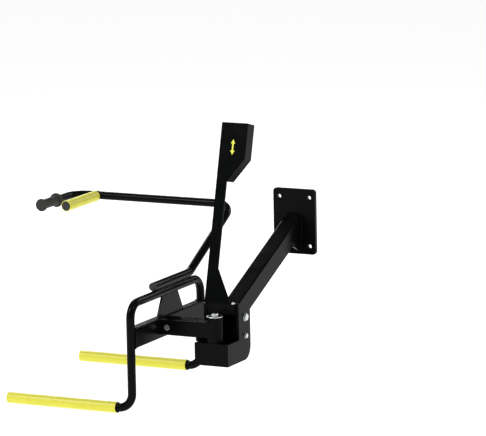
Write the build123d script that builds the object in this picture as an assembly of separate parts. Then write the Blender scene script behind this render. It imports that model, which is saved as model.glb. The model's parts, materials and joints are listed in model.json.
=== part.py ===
from build123d import *
import math
import os

# Swing-arm wheel lift: a fork of bent tube that carries a vehicle wheel, on a vertical swing pivot,
# under an inclined lift arm that bolts to a lift carriage. Millimetres, +Z up.
# Every size below is worked out from the swing axis: x to the right, y away from the operator, and
# z = 0 at the top edge of the bracket's shoe. The finished parts are then moved so that the origin
# is the centre of the mounting flange's rear face.

# ---- Tube stock and sleeves ----
TUBE_OD = 25.4
TUBE_WALL = 2.5
FORK_BEND = 45.0
HANDLE_BEND = 55.0
SLEEVE_WALL = 4.0
SLEEVE_FIT = 0.08
COLLAR_WIDTH = 4.0
COLLAR_WALL = 2.8
CAP_FACE = 3.0
CAP_RIM = 2.0
CLEAR_GAP = 0.3
CAP_PLUG = 18.0
CAP_FIT = 0.1

# ---- Fork ----
FORK_REACH = 182.0
NEAR_LEG_OFFSET = 188.0
TINE_SPACING = 455.0
NEAR_TINE_DROP = 176.5
FAR_TINE_RISE = 35.0
TINE_LENGTH = 416.0
CROSSBAR_HEIGHT = 134.5
CROSSMEMBER_HEIGHT = 60.0
CROSSMEMBER_DEPTH = 30.0
CROSSMEMBER_WALL = 3.0
CROSSMEMBER_CORNER = 3.5
CROSSMEMBER_COPE = 8.0
GUSSET_THICKNESS = 6.0
GUSSET_FACE_X = 10.0
GUSSET_SHIFT = 11.0
GUSSET_BOTTOM = 168.0
GUSSET_TOP = 91.0

# ---- Handle, retaining bar and grip ----
HANDLE_GAP = 1.0
HANDLE_NEAR_END = 44.0
HANDLE_FIRST_BEND = 195.0
HANDLE_BACK = 497.0
HANDLE_RISE = 319.0
HANDLE_REACH = 547.0
SADDLE_WIDTH = 14.0
SADDLE_INSET = 10.0
RETAINER_X = 467.0
RETAINER_LENGTH = 209.0
RETAINER_ROOT_GAP = 6.3
GRIP_START = 122.0
GRIP_LENGTH = 100.0
GRIP_WALL = 2.3
GRIP_GUARD_RADIUS = 22.0
GRIP_END_RADIUS = 19.5
GRIP_FLANGE_WIDTH = 6.0
GRIP_END_WALL = 4.0

# ---- Swing arm, tongue and pivot ----
SWING_ARM_SIZE = 50.0
SWING_ARM_WALL = 4.0
SWING_ARM_CORNER = 5.0
SWING_ARM_BOTTOM = 14.0
SWING_ARM_END_GAP = 0.5
TONGUE_FIT = 1.0
TONGUE_WALL = 5.0
TONGUE_LENGTH = 95.0
TONGUE_BOLT_FROM_FACE = 22.0
BARREL_OD = 50.0
BARREL_ID = 38.0
BARREL_LENGTH = 75.0
BUSH_LENGTH = 22.0
BUSH_FIT = 0.02
POST_RADIUS = 15.0
RUNNING_FIT = 0.05
THRUST_WASHER = 1.0
THRUST_RADIUS = 20.5
BOSS_RADIUS = 22.0
POST_TOP_GAP = 0.4
TOP_WASHER = 3.0
STOP_LUG_HEIGHT = 11.5
STOP_LUG_LENGTH = 30.0
STOP_LUG_WIDTH = 14.0
STOP_CONTACT_GAP = 0.3

# ---- Bracket ----
BRACKET_WIDTH = 110.0
SHOE_DEPTH = 67.0
SHOE_FRONT = 28.0
SIDE_PLATE = 10.0
WRAP_SHEET = 6.0
SHOE_CORNER = 40.0
RIGHT_EDGE_Y = 47.5
LEFT_EDGE_Y = 38.0
LEFT_NOSE_HEIGHT = 97.0
HEAD_PLATE = 10.0
HEAD_PLATE_FRONT = 40.0
HEAD_PLATE_HEIGHT = 33.0
HEAD_PLATE_TOP = 109.0
HEAD_BOLT_X = 39.0
SEAT_PLATE = 8.0
SEAT_SLOPE_DEG = 22.0
SPACER_SIZE = 25.0
SPACER_BOTTOM = -12.0
SPACER_TOP = 72.0
SIDE_BOLT_FROM_REAR = 35.0
UPPER_BOLT_Z = 62.5
LOWER_BOLT_Z = 6.0

# ---- Lift arm and mounting flange ----
ARM_WIDTH = 50.0
ARM_HEIGHT = 58.0
ARM_WALL = 4.0
ARM_SLOPE_DEG = 24.0
ARM_TOP_FRONT_Z = 111.0
ARM_RUN = 440.0
FLANGE_WIDTH = 140.0
FLANGE_HEIGHT = 200.0
FLANGE_THICKNESS = 12.0
FLANGE_HOLE_RADIUS = 6.5
FLANGE_SPACING_X = 100.0
FLANGE_SPACING_Z = 150.0
RIB_THICKNESS = 8.0
RIB_RUN = 60.0
RIB_DROP = 52.0

# ---- Mast and control pod (a across, s along the leaning mast, depth behind its front face) ----
MAST_LEAN_DEG = 15.2
MAST_THICKNESS = 6.0
MAST_LEFT_X = -54.0
MAST_WIDTH = 33.0
MAST_FOOT_WIDTH = 85.0
MAST_FLARE = 103.0
POD_WIDTH = 86.5
POD_BOTTOM = 363.0
POD_BOTTOM_WIDTH = 36.0
GLAND_ACROSS = 11.0
POD_CHAMFER_TOP = 431.5
POD_TOP = 537.5
POD_DEPTH = 43.0
POD_SHEET = 2.0
POD_CORNER = 3.0
COVER_SCREW_INSET = 9.0

# ---- Hand valve ----
VALVE_ACROSS = 43.0
VALVE_WIDTH = 34.0
VALVE_BOTTOM = 440.0
VALVE_LENGTH = 60.0
VALVE_FRONT = 8.0
VALVE_BACK = 28.0
SPOOL_DEPTH = 18.0
SPOOL_RADIUS = 4.0
SPOOL_OVERHANG = 4.0
SPOOL_GROOVE = 5.0
SPOOL_GROOVE_RADIUS = 2.0
LEVER_PIVOT_DEPTH = 31.0
LEVER_PIN_RADIUS = 2.0
LEVER_WIDTH = 6.0
LEVER_THICKNESS = 6.0
LEVER_FINGER_WIDTH = 3.0
LEVER_FINGER_THICKNESS = 4.0
LEVER_FINGER_END = 21.0
LEVER_LENGTH = 50.0
LEVER_HUB_RADIUS = 4.5
KNOB_RADIUS = 9.0
KNOB_LENGTH = 26.0
EAR_THICKNESS = 4.0
EAR_GAP = 0.5
LEVER_SLOT_HALF = 11.0

# ---- Arrow sign ----
ARROW_CENTRE_S = 465.0
ARROW_HEIGHT = 47.0
ARROW_HEAD_WIDTH = 14.0
ARROW_HEAD_HEIGHT = 13.0
ARROW_SHAFT_WIDTH = 5.0
ARROW_THICKNESS = 0.3

# ---- Worked out from the sizes above ----
TUBE_R = TUBE_OD / 2
TUBE_BORE_R = TUBE_R - TUBE_WALL
CAP_RADIUS = TUBE_R + CAP_RIM
TINE_SLEEVE_LENGTH = TINE_LENGTH - FORK_BEND - COLLAR_WIDTH - 1.0
RETAINER_SLEEVE_LENGTH = RETAINER_LENGTH - TUBE_R - RETAINER_ROOT_GAP
SLEEVE_BORE_R = TUBE_R + SLEEVE_FIT
SLEEVE_R = SLEEVE_BORE_R + SLEEVE_WALL
FORK_X = -FORK_REACH
NEAR_Y = -NEAR_LEG_OFFSET
FAR_Y = NEAR_Y + TINE_SPACING
NEAR_TINE_Z = -NEAR_TINE_DROP
FAR_TINE_Z = NEAR_TINE_Z + FAR_TINE_RISE
TINE_TIP_X = FORK_X - TINE_LENGTH
SWING_ARM_TOP = SWING_ARM_BOTTOM + SWING_ARM_SIZE
SWING_ARM_Z = SWING_ARM_BOTTOM + SWING_ARM_SIZE / 2
CROSSMEMBER_FACE_X = FORK_X + CROSSMEMBER_DEPTH / 2
HANDLE_Z = CROSSBAR_HEIGHT + TUBE_OD + HANDLE_GAP
HALF_BRACKET = BRACKET_WIDTH / 2
INNER_HALF = HALF_BRACKET - SIDE_PLATE
BARREL_BOTTOM = THRUST_WASHER + RUNNING_FIT
BARREL_TOP = BARREL_BOTTOM + BARREL_LENGTH
POST_TOP = BARREL_TOP + POST_TOP_GAP
ARM_SLOPE = math.tan(math.radians(ARM_SLOPE_DEG))
SEAT_SLOPE = math.tan(math.radians(SEAT_SLOPE_DEG))
ARM_FRONT_Y = HEAD_PLATE_FRONT + HEAD_PLATE
ARM_DROP = ARM_HEIGHT / math.cos(math.radians(ARM_SLOPE_DEG))
ARM_REAR_FOOT_Y = ARM_FRONT_Y + ARM_DROP / (ARM_SLOPE + SEAT_SLOPE)
ARM_REAR_FOOT_Z = ARM_TOP_FRONT_Z - SEAT_SLOPE * (ARM_REAR_FOOT_Y - ARM_FRONT_Y)
ARM_END_Y = ARM_FRONT_Y + ARM_RUN
ARM_X = HALF_BRACKET - ARM_WIDTH / 2
ARM_END_TOP_Z = ARM_TOP_FRONT_Z + ARM_SLOPE * ARM_RUN
MOUNT_Y = ARM_END_Y + FLANGE_THICKNESS
MOUNT_Z = ARM_END_TOP_Z + ARM_SLOPE * FLANGE_THICKNESS - ARM_DROP / 2
SIDE_BOLT_Y = ARM_REAR_FOOT_Y - SIDE_BOLT_FROM_REAR

MAST_PLANE = Plane(
    origin=(MAST_LEFT_X, HEAD_PLATE_FRONT, HEAD_PLATE_TOP),
    x_dir=(1, 0, 0),
    z_dir=(0, -math.cos(math.radians(MAST_LEAN_DEG)), math.sin(math.radians(MAST_LEAN_DEG))),
)


def flat(points):
    """A flat face through the points."""
    return make_face(Polyline(*points, close=True))


def upright_plate(points, x_low, x_high):
    """A plate standing in the YZ plane, from x_low to x_high, with its outline given as (y, z)."""
    return extrude(Plane.YZ.offset(x_low) * flat(points), amount=x_high - x_low)


def bent_tube(points, bend_radius):
    """Tube stock along straight runs joined by bends."""
    path = FilletPolyline(*points, radius=bend_radius)
    ring = Circle(TUBE_R) - Circle(TUBE_BORE_R)
    return sweep(Plane(origin=path @ 0, z_dir=path % 0) * ring, path=path)


def rod(start, direction, radius, length):
    """A round bar from a start point along a direction."""
    return extrude(Plane(origin=start, z_dir=direction) * Circle(radius), amount=length)


def pipe(start, direction, outer, bore, length):
    """A round bar with a bore right through."""
    ring = Circle(outer) - Circle(bore)
    return extrude(Plane(origin=start, z_dir=direction) * ring, amount=length)


def rectangular_tube(width, height, wall, corner, length):
    """Rectangular tube along +Z of its own plane, centred on it."""
    inner = RectangleRounded(width - 2 * wall, height - 2 * wall, max(corner - wall, 0.8))
    return extrude(RectangleRounded(width, height, corner) - inner, amount=length)


def hex_bolt(seat, outward, thread_radius, length, across_flats, head_height):
    """A hex bolt whose head sits on the seat point, with its shank going inwards."""
    plane = Plane(origin=seat, z_dir=outward)
    head = extrude(plane * RegularPolygon(across_flats / 2, 6, major_radius=False), amount=head_height)
    head = chamfer(head.faces().sort_by(Axis(seat, outward))[-1].outer_wire().edges(), head_height * 0.12)
    shank = extrude(plane * Circle(thread_radius), amount=-length)
    return head + shank


def in_mast(shape):
    """Puts a shape drawn in mast coordinates (across, along, towards the operator) in place."""
    return MAST_PLANE * shape


# ---- Fork ----
def fork_frame():
    """The one bent tube: near tine, near leg, crossbar, far leg and far tine."""
    tip_x = TINE_TIP_X + CAP_FACE
    return bent_tube([
        (tip_x, NEAR_Y, NEAR_TINE_Z),
        (FORK_X, NEAR_Y, NEAR_TINE_Z),
        (FORK_X, NEAR_Y, CROSSBAR_HEIGHT),
        (FORK_X, FAR_Y, CROSSBAR_HEIGHT),
        (FORK_X, FAR_Y, FAR_TINE_Z),
        (tip_x, FAR_Y, FAR_TINE_Z),
    ], FORK_BEND)


def sleeve(tip, inward, length):
    """A thick plastic sleeve over a tube, counterbored at its tip for the cap's flange."""
    counterbore = rod(tip, inward, CAP_RADIUS + CLEAR_GAP, CAP_FACE + CLEAR_GAP)
    return pipe(tip, inward, SLEEVE_R, SLEEVE_BORE_R, length) - counterbore


def retainer_x():
    return FORK_X - RETAINER_X


def sleeve_tips():
    """Each sleeve's tip, the direction from it towards the root, and the sleeve's length."""
    return [
        ((TINE_TIP_X, NEAR_Y, NEAR_TINE_Z), (1, 0, 0), TINE_SLEEVE_LENGTH),
        ((TINE_TIP_X, FAR_Y, FAR_TINE_Z), (1, 0, 0), TINE_SLEEVE_LENGTH),
        ((retainer_x(), HANDLE_BACK - RETAINER_LENGTH, HANDLE_RISE), (0, 1, 0), RETAINER_SLEEVE_LENGTH),
    ]


def along(start, direction, distance):
    """The point that lies a distance from the start along a direction."""
    return tuple(s + distance * d for s, d in zip(start, direction))


def tube_cap(seat, outward, radius):
    """A push-in cap: a face disc on the tube's end and a plug in its bore."""
    inward = tuple(-v for v in outward)
    return rod(seat, outward, radius, CAP_FACE) + rod(seat, inward, TUBE_BORE_R - CAP_FIT, CAP_PLUG)


def sleeve_caps():
    """Flanged caps in the ends of both tines and of the retaining bar; they hold the sleeves on."""
    caps = []
    for tip, inward, _ in sleeve_tips():
        outward = tuple(-v for v in inward)
        caps.append(tube_cap(along(tip, inward, CAP_FACE), outward, CAP_RADIUS))
    return Compound(caps)


def sleeve_collars():
    """Rings fixed on the tubes at the sleeves' roots."""
    collars = []
    for tip, inward, length in sleeve_tips():
        start = along(tip, inward, length + CLEAR_GAP)
        collars.append(pipe(start, inward, TUBE_R + COLLAR_WALL, TUBE_R, COLLAR_WIDTH))
    return Compound(collars)


def crossmember():
    """Rectangular tube between the legs, coped round them, flush with the top of the swing arm."""
    start_y = NEAR_Y + TUBE_R - CROSSMEMBER_COPE
    length = TINE_SPACING - TUBE_OD + 2 * CROSSMEMBER_COPE
    bar = rectangular_tube(
        CROSSMEMBER_HEIGHT, CROSSMEMBER_DEPTH, CROSSMEMBER_WALL, CROSSMEMBER_CORNER, length
    )
    centre_z = SWING_ARM_TOP - CROSSMEMBER_HEIGHT / 2
    plane = Plane(origin=(FORK_X, start_y, centre_z), x_dir=(0, 0, 1), z_dir=(0, 1, 0))
    legs = [rod((FORK_X, y, -CROSSMEMBER_HEIGHT), (0, 0, 1), TUBE_R, 3 * CROSSMEMBER_HEIGHT) for y in (NEAR_Y, FAR_Y)]
    return plane * bar - legs[0] - legs[1]


def gusset_plate():
    """Trapezoid plate from the crossmember up to the crossbar, coped round the tube."""
    centre = NEAR_Y + TINE_SPACING / 2 + GUSSET_SHIFT
    outline = [
        (centre - GUSSET_BOTTOM / 2, SWING_ARM_TOP),
        (centre + GUSSET_BOTTOM / 2, SWING_ARM_TOP),
        (centre + GUSSET_TOP / 2, CROSSBAR_HEIGHT),
        (centre - GUSSET_TOP / 2, CROSSBAR_HEIGHT),
    ]
    face_x = FORK_X + GUSSET_FACE_X
    plate = upright_plate(outline, face_x - GUSSET_THICKNESS, face_x)
    tube = rod((FORK_X, NEAR_Y, CROSSBAR_HEIGHT), (0, 1, 0), TUBE_R, TINE_SPACING)
    return plate - tube


# ---- Handle, retaining bar and grip ----
def handle_tube():
    """The guiding handle: along the crossbar, up and back, across behind the wheel, then forward."""
    corner_x = FORK_X - HANDLE_REACH
    grip_end_y = HANDLE_BACK - GRIP_START - GRIP_LENGTH + GRIP_END_WALL
    return bent_tube([
        (FORK_X, -HANDLE_NEAR_END + CAP_FACE, HANDLE_Z),
        (FORK_X, HANDLE_FIRST_BEND, HANDLE_Z),
        (FORK_X, HANDLE_BACK, HANDLE_RISE),
        (corner_x, HANDLE_BACK, HANDLE_RISE),
        (corner_x, grip_end_y, HANDLE_RISE),
    ], HANDLE_BEND)


def handle_cap():
    return tube_cap((FORK_X, -HANDLE_NEAR_END + CAP_FACE, HANDLE_Z), (0, -1, 0), TUBE_R)


def handle_saddle():
    """Long strip welded between the crossbar and the handle tube, hollowed to fit both."""
    first = -HANDLE_NEAR_END + SADDLE_INSET
    bend = math.atan2(HANDLE_RISE - HANDLE_Z, HANDLE_BACK - HANDLE_FIRST_BEND)
    last = HANDLE_FIRST_BEND - HANDLE_BEND * math.tan(bend / 2) - SADDLE_INSET
    centre = (FORK_X, (first + last) / 2, (CROSSBAR_HEIGHT + HANDLE_Z) / 2)
    strip = Pos(*centre) * Box(SADDLE_WIDTH, last - first, HANDLE_GAP + TUBE_R)
    for z in (CROSSBAR_HEIGHT, HANDLE_Z):
        strip -= rod((FORK_X, NEAR_Y, z), (0, 1, 0), TUBE_R, TINE_SPACING)
    return strip


def retaining_bar():
    """Stub of tube welded to the handle's long run, coped to fit round it."""
    x = retainer_x()
    length = RETAINER_LENGTH - CAP_FACE - 1.0
    stub = pipe((x, HANDLE_BACK - 1.0, HANDLE_RISE), (0, -1, 0), TUBE_R, TUBE_BORE_R, length)
    long_run = rod((x - TUBE_OD, HANDLE_BACK, HANDLE_RISE), (1, 0, 0), TUBE_R, 2 * TUBE_OD)
    return stub - long_run


def hand_grip():
    """Rubber grip with a guard flange and an end flange, closed over the end of the handle tube."""
    x = FORK_X - HANDLE_REACH
    start_y = HANDLE_BACK - GRIP_START
    end_y = start_y - GRIP_LENGTH + GRIP_FLANGE_WIDTH
    body = rod((x, start_y, HANDLE_RISE), (0, -1, 0), TUBE_R + GRIP_WALL, GRIP_LENGTH)
    body += rod((x, start_y, HANDLE_RISE), (0, -1, 0), GRIP_GUARD_RADIUS, GRIP_FLANGE_WIDTH)
    body += rod((x, end_y, HANDLE_RISE), (0, -1, 0), GRIP_END_RADIUS, GRIP_FLANGE_WIDTH)
    bore = rod((x, start_y, HANDLE_RISE), (0, -1, 0), TUBE_R + CAP_FIT, GRIP_LENGTH - GRIP_END_WALL + CAP_FIT)
    return body - bore


# ---- Swing arm and its bolted joint to the fork ----
def swing_arm():
    """Square tube from the fork's face to the barrel, coped round it, bored for the tongue bolt."""
    start_x = CROSSMEMBER_FACE_X + SWING_ARM_END_GAP
    bar = rectangular_tube(SWING_ARM_SIZE, SWING_ARM_SIZE, SWING_ARM_WALL, SWING_ARM_CORNER, -start_x)
    plane = Plane(origin=(start_x, 0, SWING_ARM_Z), x_dir=(0, 1, 0), z_dir=(1, 0, 0))
    barrel = rod((0, 0, 0), (0, 0, 1), BARREL_OD / 2, SWING_ARM_TOP + SWING_ARM_SIZE)
    hole = rod((tongue_bolt_x(), -SWING_ARM_SIZE, SWING_ARM_Z), (0, 1, 0), M10["hole"], 2 * SWING_ARM_SIZE)
    return plane * bar - barrel - hole


def tongue_bolt_x():
    return CROSSMEMBER_FACE_X + TONGUE_BOLT_FROM_FACE


def fork_tongue():
    """Square tube welded to the crossmember, which slides into the swing arm."""
    size = SWING_ARM_SIZE - 2 * SWING_ARM_WALL - 2 * TONGUE_FIT
    bar = rectangular_tube(size, size, TONGUE_WALL, SWING_ARM_CORNER - TONGUE_FIT, TONGUE_LENGTH)
    plane = Plane(origin=(CROSSMEMBER_FACE_X, 0, SWING_ARM_Z), x_dir=(0, 1, 0), z_dir=(1, 0, 0))
    hole = rod((tongue_bolt_x(), -SWING_ARM_SIZE, SWING_ARM_Z), (0, 1, 0), M10["hole"], 2 * SWING_ARM_SIZE)
    return plane * bar - hole


M12 = {"thread": 6.0, "hole": 6.5, "flats": 19.0, "head": 7.5}
M12_LOW = {"thread": 6.0, "hole": 6.5, "flats": 19.0, "head": 5.0, "washer": 12.0, "washer_t": 1.6}
M10 = {"thread": 5.0, "hole": 5.5, "flats": 16.0, "head": 6.4, "nut": 8.0}
M8_LOW = {"thread": 4.0, "hole": 4.5, "flats": 13.0, "head": 4.5, "washer": 8.0, "washer_t": 1.6}
M6 = {"thread": 3.0, "hole": 3.3, "flats": 10.0, "head": 4.0}


def tongue_bolt():
    seat = (tongue_bolt_x(), -SWING_ARM_SIZE / 2, SWING_ARM_Z)
    length = SWING_ARM_SIZE + M10["nut"] + 3
    return hex_bolt(seat, (0, -1, 0), M10["thread"], length, M10["flats"], M10["head"])


def tongue_nut():
    start = (tongue_bolt_x(), SWING_ARM_SIZE / 2, SWING_ARM_Z)
    outline = RegularPolygon(M10["flats"] / 2, 6, major_radius=False) - Circle(M10["thread"] + CAP_FIT)
    return extrude(Plane(origin=start, z_dir=(0, 1, 0)) * outline, amount=M10["nut"])


def swing_barrel():
    return pipe((0, 0, BARREL_BOTTOM), (0, 0, 1), BARREL_OD / 2, BARREL_ID / 2, BARREL_LENGTH)


def barrel_bush(start_z):
    """A plain bush pressed into the barrel, running on the post."""
    return pipe((0, 0, start_z), (0, 0, 1), BARREL_ID / 2 - BUSH_FIT, POST_RADIUS + RUNNING_FIT, BUSH_LENGTH)


def stop_point(y):
    """A point on the stop screw's axis, under the swing arm and over the left side plate."""
    return (-(HALF_BRACKET - SIDE_PLATE / 2), y, SWING_ARM_BOTTOM - STOP_LUG_HEIGHT / 2)


def stop_lug():
    """Block under the swing arm that holds the stop screw."""
    block = Pos(*stop_point(0)) * Box(STOP_LUG_WIDTH, STOP_LUG_LENGTH, STOP_LUG_HEIGHT)
    return block - rod(stop_point(-STOP_LUG_LENGTH), (0, 1, 0), M6["thread"] + CAP_FIT, 2 * STOP_LUG_LENGTH)


def stop_screw():
    """Hex screw whose tip meets the left side plate's edge at the start of the swing."""
    length = STOP_LUG_LENGTH / 2 + LEFT_EDGE_Y - STOP_CONTACT_GAP
    seat = stop_point(-STOP_LUG_LENGTH / 2)
    return hex_bolt(seat, (0, -1, 0), M6["thread"], length, M6["flats"], M6["head"])


# ---- Pivot on the bracket ----
def pivot_post():
    """Round post that stands in the boss and carries the barrel, tapped for the top bolt."""
    floor_z = -SHOE_DEPTH + WRAP_SHEET
    post = rod((0, 0, floor_z), (0, 0, 1), POST_RADIUS, POST_TOP - floor_z)
    tapped = rod((0, 0, POST_TOP), (0, 0, -1), M12["thread"] + CAP_FIT, 34.0)
    return post - tapped


def pivot_boss():
    floor_z = -SHOE_DEPTH + WRAP_SHEET
    return pipe((0, 0, floor_z), (0, 0, 1), BOSS_RADIUS, POST_RADIUS + BUSH_FIT, -floor_z)


def thrust_washer():
    return pipe((0, 0, 0), (0, 0, 1), THRUST_RADIUS, POST_RADIUS + BUSH_FIT, THRUST_WASHER)


def top_washer():
    return pipe((0, 0, POST_TOP), (0, 0, 1), BARREL_OD / 2, M12["hole"], TOP_WASHER)


def top_bolt():
    seat = (0, 0, POST_TOP + TOP_WASHER)
    return hex_bolt(seat, (0, 0, 1), M12["thread"], 30.0, M12["flats"], M12["head"])


# ---- Bracket ----
def side_outline(side):
    """Outline of a side plate, as (y, z): low at the front, so that the swing arm can pass."""
    edge_y = RIGHT_EDGE_Y if side > 0 else LEFT_EDGE_Y
    nose_z = ARM_TOP_FRONT_Z if side > 0 else LEFT_NOSE_HEIGHT
    return [
        (-SHOE_FRONT, -SHOE_DEPTH),
        (-SHOE_FRONT, 0),
        (edge_y, 0),
        (edge_y, nose_z),
        (ARM_FRONT_Y, ARM_TOP_FRONT_Z),
        (ARM_REAR_FOOT_Y, ARM_REAR_FOOT_Z),
        (ARM_REAR_FOOT_Y, -SHOE_DEPTH),
    ]


def side_plate(side):
    """One side plate, with its rear lower corner rounded; the right one is drilled for its bolts."""
    low, high = sorted((side * INNER_HALF, side * HALF_BRACKET))
    plate = upright_plate(side_outline(side), low, high)
    corner = plate.edges().filter_by(Axis.X).sort_by(lambda e: e.center().Y - e.center().Z)[-1]
    plate = fillet(corner, SHOE_CORNER)
    if side > 0:
        for bolt, z in ((M12_LOW, UPPER_BOLT_Z), (M8_LOW, LOWER_BOLT_Z)):
            plate -= rod((INNER_HALF - 1, SIDE_BOLT_Y, z), (1, 0, 0), bolt["hole"], SIDE_PLATE + 2)
    return plate


def bracket_wrap():
    """Bent sheet between the side plates: front, floor and back of the shoe, open on top."""
    top = ARM_REAR_FOOT_Z - SEAT_PLATE / math.cos(math.radians(SEAT_SLOPE_DEG))
    outer = flat([(-SHOE_FRONT, 0), (-SHOE_FRONT, -SHOE_DEPTH), (ARM_REAR_FOOT_Y, -SHOE_DEPTH),
                  (ARM_REAR_FOOT_Y, top), (0, top), (0, 0)])
    outer = fillet(outer.vertices().sort_by(lambda v: v.X - v.Y)[-1], SHOE_CORNER)
    inner = flat([(-SHOE_FRONT + WRAP_SHEET, 1), (-SHOE_FRONT + WRAP_SHEET, -SHOE_DEPTH + WRAP_SHEET),
                  (ARM_REAR_FOOT_Y - WRAP_SHEET, -SHOE_DEPTH + WRAP_SHEET),
                  (ARM_REAR_FOOT_Y - WRAP_SHEET, top + 1), (-1, top + 1), (-1, 1)])
    inner = fillet(inner.vertices().sort_by(lambda v: v.X - v.Y)[-1], SHOE_CORNER - WRAP_SHEET)
    return extrude(Plane.YZ.offset(-INNER_HALF) * (outer - inner), amount=2 * INNER_HALF)


def head_plate():
    """Cross plate between the side plates, in front of the lift arm's foot, under the mast."""
    rear = HEAD_PLATE_FRONT + HEAD_PLATE
    bottom = HEAD_PLATE_TOP - HEAD_PLATE_HEIGHT
    outline = [(HEAD_PLATE_FRONT, bottom), (HEAD_PLATE_FRONT, HEAD_PLATE_TOP),
               (rear, HEAD_PLATE_TOP), (rear, bottom)]
    plate = upright_plate(outline, -INNER_HALF, INNER_HALF)
    return plate - seat_plate() - rod(head_bolt_seat(), (0, 0, -1), M6["thread"] + CAP_FIT, 14.0)


def head_bolt_seat():
    return (HEAD_BOLT_X, ARM_FRONT_Y - M6["flats"] / 2 - 0.5, HEAD_PLATE_TOP)


def head_bolt():
    """Small bolt in the head plate's top edge, beside the mast's foot."""
    return hex_bolt(head_bolt_seat(), (0, 0, 1), M6["thread"], 12.0, M6["flats"], M6["head"])


def seat_plate():
    """Sloping plate between the side plates that the lift arm's cut end stands on."""
    drop = SEAT_PLATE / math.cos(math.radians(SEAT_SLOPE_DEG))
    outline = [
        (ARM_FRONT_Y, ARM_TOP_FRONT_Z),
        (ARM_REAR_FOOT_Y, ARM_REAR_FOOT_Z),
        (ARM_REAR_FOOT_Y, ARM_REAR_FOOT_Z - drop),
        (ARM_FRONT_Y, ARM_TOP_FRONT_Z - drop),
    ]
    return upright_plate(outline, -INNER_HALF, INNER_HALF)


def spacer_bar():
    """Square bar inside the right side plate, tapped for the two side bolts."""
    height = SPACER_TOP - SPACER_BOTTOM
    centre = (INNER_HALF - SPACER_SIZE / 2, SIDE_BOLT_Y, (SPACER_TOP + SPACER_BOTTOM) / 2)
    bar = Pos(*centre) * Box(SPACER_SIZE, SPACER_SIZE, height)
    for bolt, z in ((M12_LOW, UPPER_BOLT_Z), (M8_LOW, LOWER_BOLT_Z)):
        bar -= rod((INNER_HALF + 1, SIDE_BOLT_Y, z), (-1, 0, 0), bolt["thread"] + CAP_FIT, SPACER_SIZE - 2)
    return bar


def side_bolt(bolt, z):
    """A bolt and its washer on the right side plate."""
    seat = (HALF_BRACKET + bolt["washer_t"], SIDE_BOLT_Y, z)
    length = SIDE_PLATE + bolt["washer_t"] + SPACER_SIZE - 6
    return hex_bolt(seat, (1, 0, 0), bolt["thread"], length, bolt["flats"], bolt["head"])


def side_washers():
    washers = []
    for bolt, z in ((M12_LOW, UPPER_BOLT_Z), (M8_LOW, LOWER_BOLT_Z)):
        start = (HALF_BRACKET, SIDE_BOLT_Y, z)
        washers.append(pipe(start, (1, 0, 0), bolt["washer"], bolt["hole"], bolt["washer_t"]))
    return Compound(washers)


# ---- Lift arm and flange ----
def arm_profile(inset):
    """Side outline of the lift arm as (y, z), with its top and bottom walls moved in by inset."""
    shift = inset / math.cos(math.radians(ARM_SLOPE_DEG))
    top = ARM_TOP_FRONT_Z - shift
    bottom = ARM_TOP_FRONT_Z - ARM_DROP + shift
    seat = ARM_SLOPE + SEAT_SLOPE
    front_y = ARM_FRONT_Y + shift / seat
    foot_y = ARM_FRONT_Y + (ARM_DROP - shift) / seat
    return [
        (front_y, top + ARM_SLOPE * (front_y - ARM_FRONT_Y)),
        (ARM_END_Y, top + ARM_SLOPE * ARM_RUN),
        (ARM_END_Y, bottom + ARM_SLOPE * ARM_RUN),
        (foot_y, bottom + ARM_SLOPE * (foot_y - ARM_FRONT_Y)),
    ]


def lift_arm():
    """Rectangular box section that rises from the bracket to the flange."""
    outer = upright_plate(arm_profile(0), ARM_X - ARM_WIDTH / 2, ARM_X + ARM_WIDTH / 2)
    inner = upright_plate(arm_profile(ARM_WALL), ARM_X - ARM_WIDTH / 2 + ARM_WALL, ARM_X + ARM_WIDTH / 2 - ARM_WALL)
    long_edges = outer.edges().filter_by(lambda e: e.length > ARM_RUN)
    return fillet(long_edges, ARM_WALL) - inner


def mounting_flange():
    """Upright plate with four holes that bolts to the lift carriage."""
    centre = (ARM_X, ARM_END_Y + FLANGE_THICKNESS / 2, MOUNT_Z)
    plate = Pos(*centre) * Box(FLANGE_WIDTH, FLANGE_THICKNESS, FLANGE_HEIGHT)
    plate = fillet(plate.edges().filter_by(Axis.Y), 10)
    for dx in (-FLANGE_SPACING_X / 2, FLANGE_SPACING_X / 2):
        for dz in (-FLANGE_SPACING_Z / 2, FLANGE_SPACING_Z / 2):
            start = (ARM_X + dx, ARM_END_Y - 1, MOUNT_Z + dz)
            plate -= rod(start, (0, 1, 0), FLANGE_HOLE_RADIUS, FLANGE_THICKNESS + 2)
    return plate


def flange_ribs():
    """Two ribs under the lift arm that stiffen its weld to the flange."""
    end_z = ARM_END_TOP_Z - ARM_DROP
    outline = [
        (ARM_END_Y - RIB_RUN, end_z - ARM_SLOPE * RIB_RUN),
        (ARM_END_Y, end_z),
        (ARM_END_Y, end_z - RIB_DROP),
        (ARM_END_Y - RIB_THICKNESS, end_z - RIB_DROP),
    ]
    ribs = []
    for x in (ARM_X - ARM_WIDTH / 2 + RIB_THICKNESS, ARM_X + ARM_WIDTH / 2 - RIB_THICKNESS):
        ribs.append(upright_plate(outline, x - RIB_THICKNESS / 2, x + RIB_THICKNESS / 2))
    return Compound(ribs)


# ---- Mast and pod ----
def pod_outline(inset=0.0):
    """Outline of the pod in mast coordinates, moved in by inset."""
    face = flat([
        (0, POD_BOTTOM),
        (POD_BOTTOM_WIDTH, POD_BOTTOM),
        (POD_WIDTH, POD_CHAMFER_TOP),
        (POD_WIDTH, POD_TOP),
        (0, POD_TOP),
    ])
    face = fillet(face.vertices(), POD_CORNER)
    return offset(face, amount=-inset, kind=Kind.INTERSECTION) if inset else face


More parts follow.
